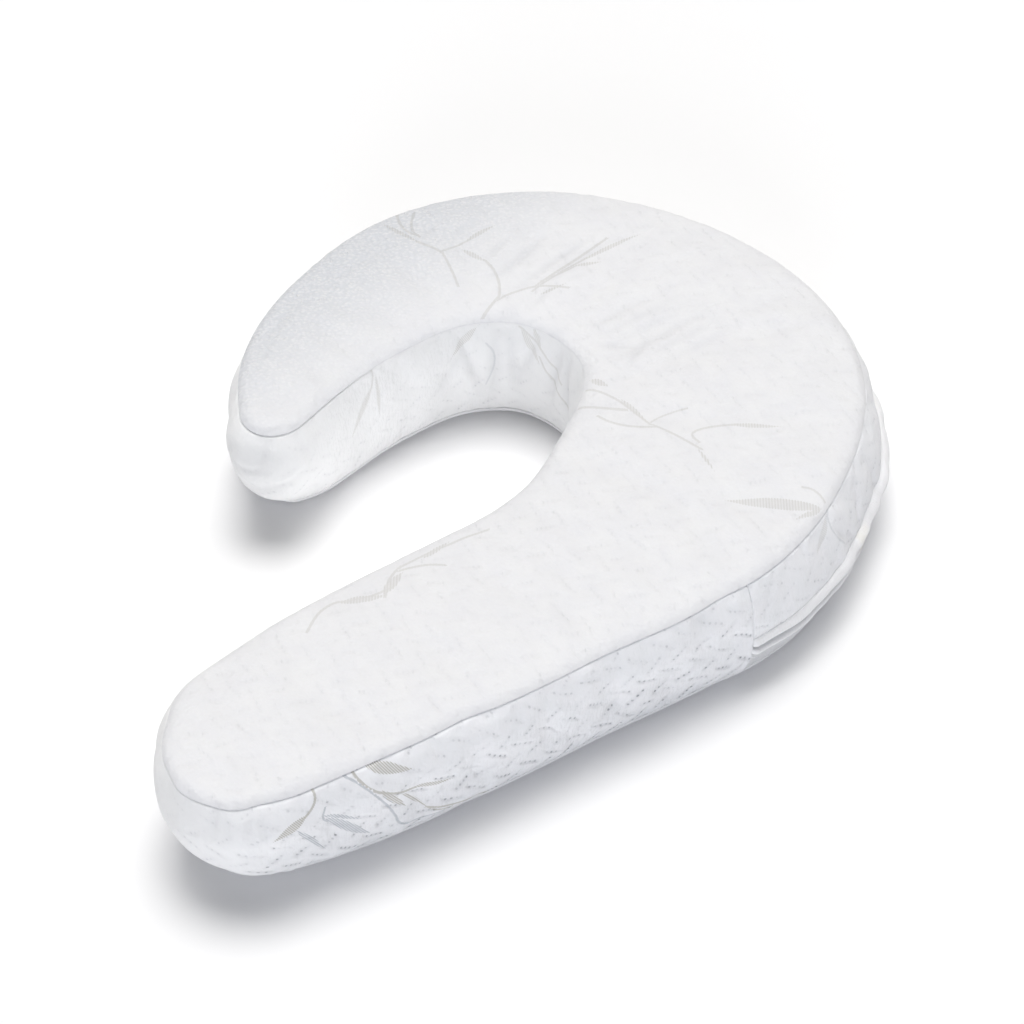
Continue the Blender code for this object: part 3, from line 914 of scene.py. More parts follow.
BAND_LEAVES = [
    Leaf((92, 77), (70, 65), 7),
    Leaf((104, 67), (134, 33), 7, "grey"),
    Leaf((103, 70), (127, 54), 3.5, "grey"),
    Leaf((85, 68), (103, 37), 4, "grey"),
    Leaf((136, 91), (164, 78), 7),
    Leaf((164, 59), (191, 52), 4),
    Leaf((141, 73), (158, 46), 5.5),
    Leaf((155, 62), (175, 31), 2.5),
    Leaf((499, 89), (476, 75), 5.5),
    Leaf((1410, 78), (1386, 47), 6),
    Leaf((1415, 84), (1414, 49), 3.5),
    Leaf((1497, 88), (1477, 70), 6),
    Leaf((1529, 88), (1547, 65), 5.5),
    Leaf((1538, 91), (1546, 78), 4),
]
BAND_STEMS = [
    Stem((100, 91), (99, 83), (91, 76), 1.1),
    Stem((127, 91), (140, 72), (164, 59), 1.2),
    Stem((174, 32), (190, 24), (216, 15), 1.3),
    Stem((174, 32), (181, 25), (190, 21), 1),
    Stem((122, 90), (138, 70), (151, 40), 1, "grey"),
    Stem((151, 40), (160, 25), (184, 20), 1.1, "grey"),
    Stem((104, 73), (103, 68), (105, 64), 0.9, "grey"),
    Stem((501, 90), (497, 78), (506, 60), 0.9, "grey"),
    Stem((1412, 91), (1412, 84), (1410, 78), 0.9),
    Stem((1530, 88), (1549, 76), (1567, 60), 1.1),
    Stem((1547, 70), (1560, 54), (1580, 38), 1.1),
    Stem((1505, 74), (1510, 60), (1504, 40), 0.9, "grey"),
]
# The long arm's spray, the first rows of each table, is woven in again at these distances
# along the band.
SPRAY_LEAVES, SPRAY_STEMS = 8, 7
REPEATS = (560, 980, 1640)
for table, count in ((BAND_LEAVES, SPRAY_LEAVES), (BAND_STEMS, SPRAY_STEMS)):
    for shift in REPEATS:
        table += [row._replace(**{name: (getattr(row, name)[0] + shift,
                                         getattr(row, name)[1])
                                  for name in row._fields[:-2]})
                  for row in table[:count]]

# A leaf is widest nearer its base when this power is below 1.
LEAF_SHAPE = 0.8
# Half of a stem's drawn width: its thread swells past its own row of stitches. The top's
# stems lie looser, in a broader float of thread.
STEM_HALF = 0.8
LOOSE_FLOAT = 1.28
TOP_STEMS = [stem._replace(width=LOOSE_FLOAT * stem.width) for stem in TOP_STEMS]

# A face takes a leaf or a stem that lies within this of its middle, in millimetres, and
# one that takes none is marked as this far from any.
LEAF_REACH, STEM_REACH = 4.0, 3.0
NOWHERE_NEAR = 99.0
WHOLLY_WOVEN = 0.99
STEM_POINTS = 9


def thread_sign(thread):
    return -1.0 if thread == "grey" else 1.0


def mark_folds(piece, depths):
    """Keep how deep the narrow folds are at each vertex, from 0 to 1."""
    attribute = piece.data.attributes.new("fold", "FLOAT", "POINT")
    attribute.data.foreach_set("value", np.clip(depths, 0, 1).astype(np.float32))


def against(near, runs):
    """How far along each run a point near its start lies, as a share, and how far across."""
    lengths = np.hypot(runs[..., 0], runs[..., 1])
    along = (near * runs).sum(axis=-1) / lengths ** 2
    return along, (near[..., 1] * runs[..., 0] - near[..., 0] * runs[..., 1]) / lengths


def weave_sprigs(piece, flat, leaves, stems, woven):
    """Give each face of a piece the leaf and the stem that lie nearest to it.

    `flat` is where each vertex lies on the cloth and `woven` says which vertices may show
    a sprig. The leaf attribute holds how far along the leaf a corner is, how far across it
    and half its width, and the stem attribute how far across it and half its width. A
    grey one has a negative width."""
    mesh = piece.data
    corner_vertex = vertex_at_corners(piece)
    sizes = np.empty(len(mesh.polygons), int)
    mesh.polygons.foreach_get("loop_total", sizes)
    face = np.repeat(np.arange(len(sizes)), sizes)
    corners = flat[corner_vertex]
    middle = np.stack([np.bincount(face, corners[:, k]) / sizes for k in (0, 1)], axis=1)
    shown = np.bincount(face, woven[corner_vertex]) / sizes > WHOLLY_WOVEN
    leaf_value = np.tile([0.5, NOWHERE_NEAR, 1.0], (len(face), 1))
    stem_value = np.tile([NOWHERE_NEAR, 1.0, 0.0], (len(face), 1))

    starts = np.array([leaf.base for leaf in leaves], float)
    runs = np.array([leaf.tip for leaf in leaves]) - starts
    halves = np.array([leaf.width / 2 for leaf in leaves])
    signs = np.array([thread_sign(leaf.thread) for leaf in leaves])
    along, across = against(middle[:, None] - starts, runs)
    beyond = np.maximum(np.abs(along - 0.5) - 0.5, 0) * np.hypot(*runs.T)
    shape = np.sin(pi * np.clip(along, 0, 1) ** LEAF_SHAPE)
    within = halves * shape - np.abs(across) - beyond
    owned = ((within.max(axis=1) > -LEAF_REACH) & shown)[face]
    own = within.argmax(axis=1)[face]
    along, across = against(corners - starts[own], runs[own])
    values = np.stack([along, across, halves[own] * signs[own]], axis=1)
    leaf_value[owned] = values[owned]

    threads = []
    for stem in stems:
        a, b, c = (np.array(point, float) for point in stem[:3])
        share = np.linspace(0, 1, STEM_POINTS)[:, None]
        line = a * (1 - share) ** 2 + (4 * b - a - c) * share * (1 - share) + c * share ** 2
        for start, end in zip(line, line[1:]):
            threads.append((*start, *(end - start), stem.width * STEM_HALF,
                            thread_sign(stem.thread)))
    threads = np.array(threads)
    starts, runs, halves, signs = np.split(threads, (2, 4, 5), axis=1)
    near = middle[:, None] - starts
    share = np.clip(against(near, runs)[0], 0, 1)
    gap = np.hypot(*np.moveaxis(near - share[..., None] * runs, -1, 0))
    owned = ((gap.min(axis=1) < STEM_REACH) & shown)[face]
    own = gap.argmin(axis=1)[face]
    across = against(corners - starts[own], runs[own])[1]
    values = np.column_stack([across, halves[own] * signs[own], np.zeros(len(own))])
    stem_value[owned] = values[owned]
    for name, value in (("leaf", leaf_value), ("stem", stem_value)):
        attribute = mesh.attributes.new(name, "FLOAT_VECTOR", "CORNER")
        attribute.data.foreach_set("vector", value.astype(np.float32).ravel())


# ---------------------------------------------------------------- materials
def linear(hex_colour):
    """An sRGB hex colour as linear red, green, blue and alpha."""
    parts = [int(hex_colour[k:k + 2], 16) / 255 for k in (1, 3, 5)]
    return tuple(p / 12.92 if p <= 0.04045 else ((p + 0.055) / 1.055) ** 2.4
                 for p in parts) + (1.0,)


def add(tree, kind, inputs=(), **settings):
    """Add one node: its settings, then its inputs as values or links, in order or named.

    A node given as an input stands for its first output in use."""
    node = tree.nodes.new(kind)
    for name, value in settings.items():
        setattr(node, name, value)
    for key, value in inputs.items() if isinstance(inputs, dict) else enumerate(inputs):
        if isinstance(value, bpy.types.Node):
            value = next(output for output in value.outputs if output.enabled)
        if isinstance(value, bpy.types.NodeSocket):
            tree.links.new(value, node.inputs[key])
        else:
            node.inputs[key].default_value = value
    return node


def new_material(name, settings):
    """A material, its nodes and its shader, with these of the shader's inputs set."""
    material = bpy.data.materials.new(name)
    material.use_nodes = True
    shader = material.node_tree.nodes["Principled BSDF"]
    for key, value in settings.items():
        shader.inputs[key].default_value = value
    return material, material.node_tree, shader


# The map of each cloth is in metres, and its patterns are in millimetres.
TO_MM = (1000, 1000, 1000)

# The knit is drawn in to its backing by short runs of pin stitches: a row of runs that fall
# along the cloth, then a row of runs that rise, half a repeat over from the last.
RUN_REPEAT = 18.4
ROW_RISE = 12.2
ROW_SLANT = 0.22
RUN_SLOPE = 0.62
PIN_PITCH = 3.15
# How far the whole pattern wanders, and the height a row's runs are scattered over.
WOBBLE = 10.0
RUN_DRIFT = 3.0
# Added to the count of rows and repeats, so that none is below 0.
FIRST_ROW = 200
# A run has at least the first share of the full slope and by chance up to the second
# more. A pin is pulled down by chance between the least and the most.
LEAST_SLOPE, SLOPE_RANGE = 0.7, 0.6
LEAST_PULL, MOST_PULL = 0.35, 1.15
# Half the drawn-in line's width and, from a run's middle, where it starts to fade and ends.
LINE_HALF = 4.2
LINE_FADES, LINE_ENDS = 4.5, 8.5


def two_ways(x, y, first, second):
    """A direction and the one square to it, each divided by a half length that way."""
    return (x / first, y / first, 0), (-y / second, x / second, 0)


# The panels' pins, puffs and hatching lie askew in their cloth, along and across this way.
ASKEW = (0.893, 0.451)
ROUND_PIN = two_ways(1, 0, 1.05, 1.3)
LONG_PIN = two_ways(*ASKEW, 1.0, 1.7)
# The puffs of the panels' knit, from one to the next.
PUFF = two_ways(*ASKEW, 3.0, 2.4)


def pin_stitches(tree, cloth, pin):
    """The pins and the drawn-in lines they lie on, each as a mask from 0 to 1."""
    drift = add(tree, "ShaderNodeTexNoise", {"Vector": cloth, "Scale": 0.035,
                                             "Detail": 1.0})
    shift = add(tree, "ShaderNodeVectorMath", (drift.outputs["Color"], (0.5, 0.5, 0.5)),
                operation="SUBTRACT")
    moved = add(tree, "ShaderNodeVectorMath", (shift, (WOBBLE, WOBBLE, 0), cloth),
                operation="MULTIPLY_ADD")
    flat = add(tree, "ShaderNodeSeparateXYZ", (moved,))
    rows = add(tree, "ShaderNodeMath", (flat.outputs["Y"], 1 / ROW_RISE, FIRST_ROW),
               operation="MULTIPLY_ADD")
    row = add(tree, "ShaderNodeMath", (rows,), operation="FLOOR")
    high = add(tree, "ShaderNodeMath", (rows,), operation="FRACT")
    odd = add(tree, "ShaderNodeMath", (row, 2), operation="MODULO")
    over = add(tree, "ShaderNodeMath", (odd, RUN_REPEAT / 2, flat.outputs["X"]),
               operation="MULTIPLY_ADD")
    over = add(tree, "ShaderNodeMath", (flat.outputs["Y"], ROW_SLANT, over),
               operation="MULTIPLY_ADD")
    repeats = add(tree, "ShaderNodeMath", (over, 1 / RUN_REPEAT, FIRST_ROW),
                  operation="MULTIPLY_ADD")
    column = add(tree, "ShaderNodeMath", (repeats,), operation="FLOOR")
    part = add(tree, "ShaderNodeMath", (repeats,), operation="FRACT")
    cell = add(tree, "ShaderNodeCombineXYZ", (column, row, 0))
    chance = add(tree, "ShaderNodeSeparateXYZ",
                 (add(tree, "ShaderNodeTexWhiteNoise", {"Vector": cell}).outputs["Color"],))
    along = add(tree, "ShaderNodeMath", (part, RUN_REPEAT, -RUN_REPEAT / 2),
                operation="MULTIPLY_ADD")
    slope = add(tree, "ShaderNodeMath", (odd, 2 * RUN_SLOPE, -RUN_SLOPE),
                operation="MULTIPLY_ADD")
    lean = add(tree, "ShaderNodeMath", (chance.outputs["X"], SLOPE_RANGE, LEAST_SLOPE),
               operation="MULTIPLY_ADD")
    slope = add(tree, "ShaderNodeMath", (slope, lean), operation="MULTIPLY")
    up = add(tree, "ShaderNodeMath", (high, ROW_RISE, -ROW_RISE / 2),
             operation="MULTIPLY_ADD")
    up = add(tree, "ShaderNodeMath", (chance.outputs["Y"], RUN_DRIFT, up),
             operation="MULTIPLY_ADD")
    up = add(tree, "ShaderNodeMath", (up, RUN_DRIFT / 2), operation="SUBTRACT")
    back = add(tree, "ShaderNodeMath", (along, slope), operation="MULTIPLY")
    off_line = add(tree, "ShaderNodeMath", (up, back), operation="SUBTRACT")
    steps = add(tree, "ShaderNodeMath", (along, 1 / PIN_PITCH), operation="MULTIPLY")
    number = add(tree, "ShaderNodeMath", (steps,), operation="FLOOR")
    step = add(tree, "ShaderNodeMath", (steps,), operation="FRACT")
    from_pin = add(tree, "ShaderNodeMath", (step, PIN_PITCH, -PIN_PITCH / 2),
                   operation="MULTIPLY_ADD")
    rise = add(tree, "ShaderNodeMath", (from_pin, slope, off_line),
               operation="MULTIPLY_ADD")
    offset = add(tree, "ShaderNodeCombineXYZ", (from_pin, rise, 0))
    spans = [add(tree, "ShaderNodeVectorMath", (offset, direction),
                 operation="DOT_PRODUCT").outputs["Value"] for direction in pin]
    reach = add(tree, "ShaderNodeVectorMath",
                (add(tree, "ShaderNodeCombineXYZ", (*spans, 0)),), operation="LENGTH")
    pins = add(tree, "ShaderNodeMapRange",
               (reach.outputs["Value"], 0.3, 1.0, 1.0, 0.0),
               interpolation_type="SMOOTHSTEP")
    # Each run is of three pins or four, some pulled harder than others.
    off_end = add(tree, "ShaderNodeMath", (along,), operation="ABSOLUTE")
    ends = add(tree, "ShaderNodeMapRange", (off_end, 1.9 * PIN_PITCH, 2.05 * PIN_PITCH,
                                            1.0, 0.0))
    fourth = add(tree, "ShaderNodeMath", (chance.outputs["Z"], 0.5),
                 operation="GREATER_THAN")
    third = add(tree, "ShaderNodeMath", (along, PIN_PITCH), operation="LESS_THAN")
    kept = add(tree, "ShaderNodeMath", (fourth, third), operation="MAXIMUM")
    one = add(tree, "ShaderNodeCombineXYZ", (column, row, number))
    pull = add(tree, "ShaderNodeMapRange",
               (add(tree, "ShaderNodeTexWhiteNoise", {"Vector": one}).outputs["Value"],
                0.0, 1.0, LEAST_PULL, MOST_PULL))
    depth = add(tree, "ShaderNodeMapRange",
                (add(tree, "ShaderNodeTexNoise", {"Vector": cloth, "Scale": 0.08,
                                                  "Detail": 2.0}), 0.36, 0.58, 0.25, 1.0))
    for mask in (depth, ends, kept, pull):
        pins = add(tree, "ShaderNodeMath", (pins, mask), operation="MULTIPLY")
    line = add(tree, "ShaderNodeMapRange",
               (add(tree, "ShaderNodeMath", (off_line,), operation="ABSOLUTE"),
                0.0, LINE_HALF, 1.0, 0.0), interpolation_type="SMOOTHSTEP")
    ends = add(tree, "ShaderNodeMapRange", (off_end, LINE_FADES, LINE_ENDS, 1.0, 0.0),
               interpolation_type="SMOOTHSTEP")
    for mask in (ends, depth):
        line = add(tree, "ShaderNodeMath", (line, mask), operation="MULTIPLY")
    return pins, line


def sprig_thread(tree, cloth, hatch, between):
    """How much of the sprigs' thread shows, how much is the grey one, and the leaves.

    Between the lines of the hatching, `between` of the thread still shows."""
    steps = add(tree, "ShaderNodeVectorMath", (cloth, hatch), operation="DOT_PRODUCT")
    stripe = add(tree, "ShaderNodeMath", (steps.outputs["Value"],), operation="SINE")
    leaf = add(tree, "ShaderNodeSeparateXYZ",
               (add(tree, "ShaderNodeAttribute", attribute_name="leaf").outputs["Vector"],))
    width = add(tree, "ShaderNodeMath", (leaf.outputs["Z"],), operation="ABSOLUTE")
    share = add(tree, "ShaderNodeMath", (leaf.outputs["X"], LEAF_SHAPE), operation="POWER")
    turn = add(tree, "ShaderNodeMath", (share, pi), operation="MULTIPLY")
    full = add(tree, "ShaderNodeMath", (turn,), operation="SINE")
    side = add(tree, "ShaderNodeMath", (full, width), operation="MULTIPLY")
    across = add(tree, "ShaderNodeMath", (leaf.outputs["Y"],), operation="ABSOLUTE")
    within = add(tree, "ShaderNodeMath", (side, across), operation="SUBTRACT")
    # Each line of the hatching runs a little past the leaf's edge, as its float does.
    ragged = add(tree, "ShaderNodeMath", (stripe, 0.3, within), operation="MULTIPLY_ADD")
    body = add(tree, "ShaderNodeMapRange", (ragged, -0.1, 0.4, 0.0, 1.0))
    filled = add(tree, "ShaderNodeMapRange", (stripe, -0.5, 0.7, between, 1.0))
    leaf_shows = add(tree, "ShaderNodeMath", (filled, body), operation="MULTIPLY")
    stem = add(tree, "ShaderNodeSeparateXYZ",
               (add(tree, "ShaderNodeAttribute", attribute_name="stem").outputs["Vector"],))
    half = add(tree, "ShaderNodeMath", (stem.outputs["Y"],), operation="ABSOLUTE")
    away = add(tree, "ShaderNodeMath", (stem.outputs["X"],), operation="ABSOLUTE")
    stem_in = add(tree, "ShaderNodeMath", (half, away), operation="SUBTRACT")
    stem_in = add(tree, "ShaderNodeMath", (stripe, 0.12, stem_in), operation="MULTIPLY_ADD")
    stem_shows = add(tree, "ShaderNodeMapRange", (stem_in, -0.25, 0.3, 0.0, 0.8))
    shows = add(tree, "ShaderNodeMath", (leaf_shows, stem_shows), operation="MAXIMUM")
    least = add(tree, "ShaderNodeMath", (leaf.outputs["Z"], stem.outputs["Y"]),
                operation="MINIMUM")
    grey = add(tree, "ShaderNodeMath", (least, 0.0), operation="LESS_THAN")
    return shows, grey, body


# Where tricot is stained by handling, at most this much of the second tone shows.
STAINED = 0.45
# How unevenly its ribs run, as a turn of their wave, and how high the cloth's slack lies.
RIB_SLACK, SLACK_RISE = 5.0, 1.2


def folded_cloth(name, tones, ribs, rib_height):
    """Plain tricot: smoother and whiter than the cover, with faint ribs, a little stained."""
    material, tree, shader = new_material(name, {
        "Roughness": 0.75, "Sheen Weight": 0.2, "Sheen Roughness": 0.4})
    place = add(tree, "ShaderNodeUVMap", uv_map="cloth")
    cloth = add(tree, "ShaderNodeMapping", {"Vector": place, "Scale": TO_MM})
    spots = add(tree, "ShaderNodeMapRange",
                (add(tree, "ShaderNodeTexNoise", {"Vector": cloth, "Scale": 0.035,
                                                  "Detail": 2.0}), 0.6, 0.75, 0.0, STAINED))
    colour = add(tree, "ShaderNodeMix", {0: spots, 6: linear(tones[0]),
                                         7: linear(tones[1])}, data_type="RGBA")
    tree.links.new(colour.outputs[2], shader.inputs["Base Color"])
    loose = add(tree, "ShaderNodeTexNoise", {"Vector": cloth, "Scale": 0.12, "Detail": 2.0})
    lean = add(tree, "ShaderNodeMath", (loose, RIB_SLACK), operation="MULTIPLY")
    steps = add(tree, "ShaderNodeVectorMath", (cloth, ribs), operation="DOT_PRODUCT")
    turn = add(tree, "ShaderNodeMath", (steps.outputs["Value"], lean), operation="ADD")
    rib = add(tree, "ShaderNodeMath", (turn,), operation="SINE")
    height = add(tree, "ShaderNodeMath", (rib, rib_height), operation="MULTIPLY")
    height = add(tree, "ShaderNodeMath", (loose, SLACK_RISE, height),
                 operation="MULTIPLY_ADD")
    bump = add(tree, "ShaderNodeBump", {"Height": height, "Strength": 1.0, "Distance": MM})
    tree.links.new(bump.outputs["Normal"], shader.inputs["Normal"])
    return material


# The cloth's courses lie this many degrees round from the pillow's length on the panels.
GRAIN = 58.4
# The band's own grain, in puffs 2 mm apart. Real ones are half that and too fine to show.
GRAIN_PITCH = 2.0
# How high the puffs stand on the band, and on the panels where they aren't raised.
GRAIN_HEIGHT = 0.16
PANEL_GRAIN = 0.38

# Where the top's knit stands up in raised dots, over the short arm and the loop beside it:
# the direction it grows in, and from where to where, in metres.
RAISED_WAY = (-0.23, 0.973, 0)
RAISED_FROM, RAISED_FULL = 0.07, 0.19
# The painted shade its ground turns to between the dots, how much more its puffs stand up, and
# how strongly its pins turn from pits into dots.
RAISED_SHADE_TONE = "#d8dadf"
RAISED_GRAIN = 0.5
PIN_TURNS = -3.4
# How much of the painted shade a dot keeps off the ground, and how much of it even the puffs'
# tops have.
DOT_WHITE, LEAST_PUFF_SHADE = 0.8, 0.15

# Over the tips and in the hollow the band is taut, and its pins draw it in by only this share.
# It comes up to all of it between these places on the long arm, and past the zip's end it has
# the next share, lost over the length after it. The painted shade of the pins and their lines
# is scaled by the same shares.
TAUT = 0.25
LONG_ARM_FROM, LONG_ARM_FULL = 2055.0, 2150.0
PAST_ZIP_SHARE, PAST_ZIP_FADE = 0.55, 100.0
# The filling holds the band out at its top, where only this share of that is left. It is lost
# between these heights. The painted shade of the pins and their lines is scaled likewise.
SHARE_AT_TOP, DRAWN_FROM, DRAWN_TO = 0.35, 25.0, 80.0
# The sprigs are paler all round than on the long arm, where they come up to full strength.
PALE_THREAD, BOLD_FROM, BOLD_FULL = 0.39, 1990.0, 2050.0
# Its soft puffs rise by the last share where it is taut, and by the first more where slack.
SLACK_PUFFS, TAUT_PUFFS = 1.5, 0.7
# Fine upright gathers, drawn up by the seams: how close along the band and up it, and how
# high.
GATHERS = (0.42, 0.11, 0)
GATHER_RISE = 0.3
# Low on the long arm the cloth turns under, and painted shade darkens it by this much. The
# shade is lost between these heights.
UNDER_SHADE, UNDER_FROM, UNDER_TO = 0.22, 14.0, 62.0
# Painted light: the tone the band's ground turns to in the hollow, over this length past the
# zip.
HOLLOW_LIGHT_TONE, INNER_FADE = "#f5f5f5", 150.0
# What painted shade turns the ground towards, and how much of it a full fold has.
SHADE_TONE = "#9a9ca4"
FOLD_SHADE = 0.13
BEIGE_THREAD, GREY_THREAD = "#a6a193", "#aab0b8"
# How high each part stands in the cloth's relief, in millimetres. Those below 0 are drawn
# in.
LINE_RISE, PIN_RISE, THREAD_RISE, SOFT_RISE = -0.8, -0.5, -0.1, 1.2


def knitted_cloth(name, cloth_from, tones, pin, hatch, between, thread_strength, pin_shade,
                  line_shade, relief):
    """Double-knit jacquard: a matt, faintly fleecy white cloth over a soft backing.

    Its pins are pulled down into the filling, so the cloth between them stands up in low
    puffs, and the sprigs are a flat darker thread in fine hatching."""
    material, tree, shader = new_material(name, {
        "Roughness": 0.9, "Sheen Weight": 0.12, "Sheen Roughness": 0.5,
        "Specular IOR Level": 0.3})
    if cloth_from == "band":
        place = add(tree, "ShaderNodeUVMap", uv_map="cloth")
        cloth = add(tree, "ShaderNodeMapping", {"Vector": place, "Scale": TO_MM})
    else:
        place = add(tree, "ShaderNodeTexCoord").outputs["Object"]
        cloth = add(tree, "ShaderNodeMapping",
                    {"Vector": place, "Rotation": (0, 0, radians(GRAIN)), "Scale": TO_MM})
    pins, lines = pin_stitches(tree, cloth, pin)
    shows, grey, leaf_body = sprig_thread(tree, cloth, hatch, between)
    plain = add(tree, "ShaderNodeMath", (1.0, leaf_body), operation="SUBTRACT")
    pins = add(tree, "ShaderNodeMath", (pins, plain), operation="MULTIPLY")
    soft = add(tree, "ShaderNodeTexNoise", {"Vector": cloth, "Scale": 0.06, "Detail": 2.0})
    if cloth_from == "band":
        grain = add(tree, "ShaderNodeTexVoronoi", {"Vector": cloth,
                                                   "Scale": 1 / GRAIN_PITCH})
        flat = add(tree, "ShaderNodeSeparateXYZ", (cloth,))
        low = add(tree, "ShaderNodeMapRange", (flat.outputs["Y"], DRAWN_FROM, DRAWN_TO,
                                               1.0, SHARE_AT_TOP))
        arm = add(tree, "ShaderNodeMapRange", (flat.outputs["X"], LONG_ARM_FROM,
                                               LONG_ARM_FULL, TAUT, 1.0))
        past_zip = add(tree, "ShaderNodeMapRange",
                       (flat.outputs["X"], ZIP_TO, ZIP_TO + PAST_ZIP_FADE,
                        PAST_ZIP_SHARE, TAUT))
        # How far the pins draw the band in here, which also scales their painted shade.
        slack_and_shade = add(tree, "ShaderNodeMath", (arm, past_zip), operation="MAXIMUM")
        slack_and_shade = add(tree, "ShaderNodeMath", (slack_and_shade, low), operation="MULTIPLY")
        pins = add(tree, "ShaderNodeMath", (pins, slack_and_shade), operation="MULTIPLY")
        lines = add(tree, "ShaderNodeMath", (lines, slack_and_shade), operation="MULTIPLY")
        bold = add(tree, "ShaderNodeMapRange", (flat.outputs["X"], BOLD_FROM, BOLD_FULL,
                                                PALE_THREAD, 1.0))
        shows = add(tree, "ShaderNodeMath", (shows, bold), operation="MULTIPLY")
        upright = add(tree, "ShaderNodeVectorMath", (cloth, GATHERS), operation="MULTIPLY")
        gathers = add(tree, "ShaderNodeTexNoise", {"Vector": upright, "Scale": 1.0,
                                                   "Detail": 1.0})
        puffs = add(tree, "ShaderNodeMath", (slack_and_shade, SLACK_PUFFS, TAUT_PUFFS),
                    operation="MULTIPLY_ADD")
        soft = add(tree, "ShaderNodeMath", (soft, puffs), operation="MULTIPLY")
        soft = add(tree, "ShaderNodeMath", (gathers, GATHER_RISE, soft),
                   operation="MULTIPLY_ADD")
        under = add(tree, "ShaderNodeMapRange", (flat.outputs["Y"], UNDER_FROM, UNDER_TO,
                                                 1.0, 0.0))
        under = add(tree, "ShaderNodeMath", (under, arm), operation="MULTIPLY")
        under = add(tree, "ShaderNodeMath", (under, UNDER_SHADE), operation="MULTIPLY")
        raised, pits_to_shade = None, pins
    else:
        spans = [add(tree, "ShaderNodeVectorMath", (cloth, direction),
                     operation="DOT_PRODUCT").outputs["Value"] for direction in PUFF]
        grain = add(tree, "ShaderNodeTexVoronoi",
                    {"Vector": add(tree, "ShaderNodeCombineXYZ", (*spans, 0)),
                     "Scale": 1.0})
        under = 0.0
        way = add(tree, "ShaderNodeVectorMath", (place, RAISED_WAY),
                  operation="DOT_PRODUCT")
        raised = add(tree, "ShaderNodeMapRange", (way.outputs["Value"], RAISED_FROM,
                                                  RAISED_FULL, 0.0, 1.0),
                     interpolation_type="SMOOTHSTEP")
        dots = add(tree, "ShaderNodeMath", (pins, DOT_WHITE), operation="MULTIPLY")
        turned = add(tree, "ShaderNodeMath", (raised, PIN_TURNS, 1.0),
                     operation="MULTIPLY_ADD")
        pins = add(tree, "ShaderNodeMath", (pins, turned), operation="MULTIPLY")
        pits_to_shade = add(tree, "ShaderNodeMath", (pins, 0.0), operation="MAXIMUM")
    mottle = add(tree, "ShaderNodeMapRange",
                 (add(tree, "ShaderNodeTexNoise", {"Vector": cloth, "Scale": 0.05,
                                                   "Detail": 3.0}), 0.35, 0.65, 0.0, 1.0))
    ground = add(tree, "ShaderNodeMix", {0: mottle, 6: linear(tones[0]),
                                         7: linear(tones[1])}, data_type="RGBA")
    if cloth_from == "band":
        # Painted light: the stretch that lies in the hollow is a little less blue, for the
        # light there.
        inner = add(tree, "ShaderNodeMapRange",
                    (flat.outputs["X"], ZIP_TO, ZIP_TO + INNER_FADE, 0.0, 1.0))
        inner = add(tree, "ShaderNodeMath", (inner, arm), operation="SUBTRACT",
                    use_clamp=True)
        ground = add(tree, "ShaderNodeMix", {0: inner, 6: ground, 7: linear(HOLLOW_LIGHT_TONE)},
                     data_type="RGBA")
    # Painted shade: the ground darkens in the pins' pits, along their drawn-in lines, low on
    # the long arm and in the marked folds.
    shade = add(tree, "ShaderNodeMath", (pits_to_shade, pin_shade, under),
                operation="MULTIPLY_ADD")
    shade = add(tree, "ShaderNodeMath", (lines, line_shade, shade),
                operation="MULTIPLY_ADD")
    # Painted shade in each marked fold, more than its depth alone would give in so even a
    # light.
    fold = add(tree, "ShaderNodeAttribute", attribute_name="fold")
    shade = add(tree, "ShaderNodeMath", (fold.outputs["Fac"], FOLD_SHADE, shade),
                operation="MULTIPLY_ADD")
    ground = add(tree, "ShaderNodeMix", {0: shade, 6: ground, 7: linear(SHADE_TONE)},
                 data_type="RGBA")
    fine = GRAIN_HEIGHT
    if raised:
        # Painted shade between the raised puffs: the ground there is a little greyer, and the
        # puffs stay white.
        shade_between_puffs = add(tree, "ShaderNodeMapRange",
                            (grain.outputs["Distance"], 0.1, 0.6, LEAST_PUFF_SHADE, 1.0))
        shade_between_puffs = add(tree, "ShaderNodeMath", (shade_between_puffs, dots),
                            operation="SUBTRACT", use_clamp=True)
        raised_shade = add(tree, "ShaderNodeMath", (raised, shade_between_puffs), operation="MULTIPLY")
        ground = add(tree, "ShaderNodeMix", {0: raised_shade, 6: ground, 7: linear(RAISED_SHADE_TONE)},
                     data_type="RGBA")
        fine = add(tree, "ShaderNodeMath", (raised, RAISED_GRAIN, PANEL_GRAIN),
                   operation="MULTIPLY_ADD")
    thread = add(tree, "ShaderNodeMix", {0: grey, 6: linear(BEIGE_THREAD),
                                         7: linear(GREY_THREAD)}, data_type="RGBA")
    strength = add(tree, "ShaderNodeMath", (shows, thread_strength), operation="MULTIPLY")
    colour = add(tree, "ShaderNodeMix", {0: strength, 6: ground, 7: thread},
                 data_type="RGBA")
    tree.links.new(colour.outputs[2], shader.inputs["Base Color"])

    domes = add(tree, "ShaderNodeMath", (1.0, grain), operation="SUBTRACT")
    height = add(tree, "ShaderNodeMath", (domes, fine), operation="MULTIPLY")
    for part, rise in ((lines, LINE_RISE * relief), (pins, PIN_RISE * relief),
                       (shows, THREAD_RISE), (soft, SOFT_RISE * relief)):
        height = add(tree, "ShaderNodeMath", (part, rise, height), operation="MULTIPLY_ADD")
    bump = add(tree, "ShaderNodeBump", {"Height": height, "Strength": 1.0,
                                        "Distance": MM})
    tree.links.new(bump.outputs["Normal"], shader.inputs["Normal"])
    return material


def lines_apart(x, y, pitch):
    """A direction as turns of a wave: one from each line to the next, this far apart."""
    turn = 2 * pi / pitch
    return x * turn, y * turn, 0


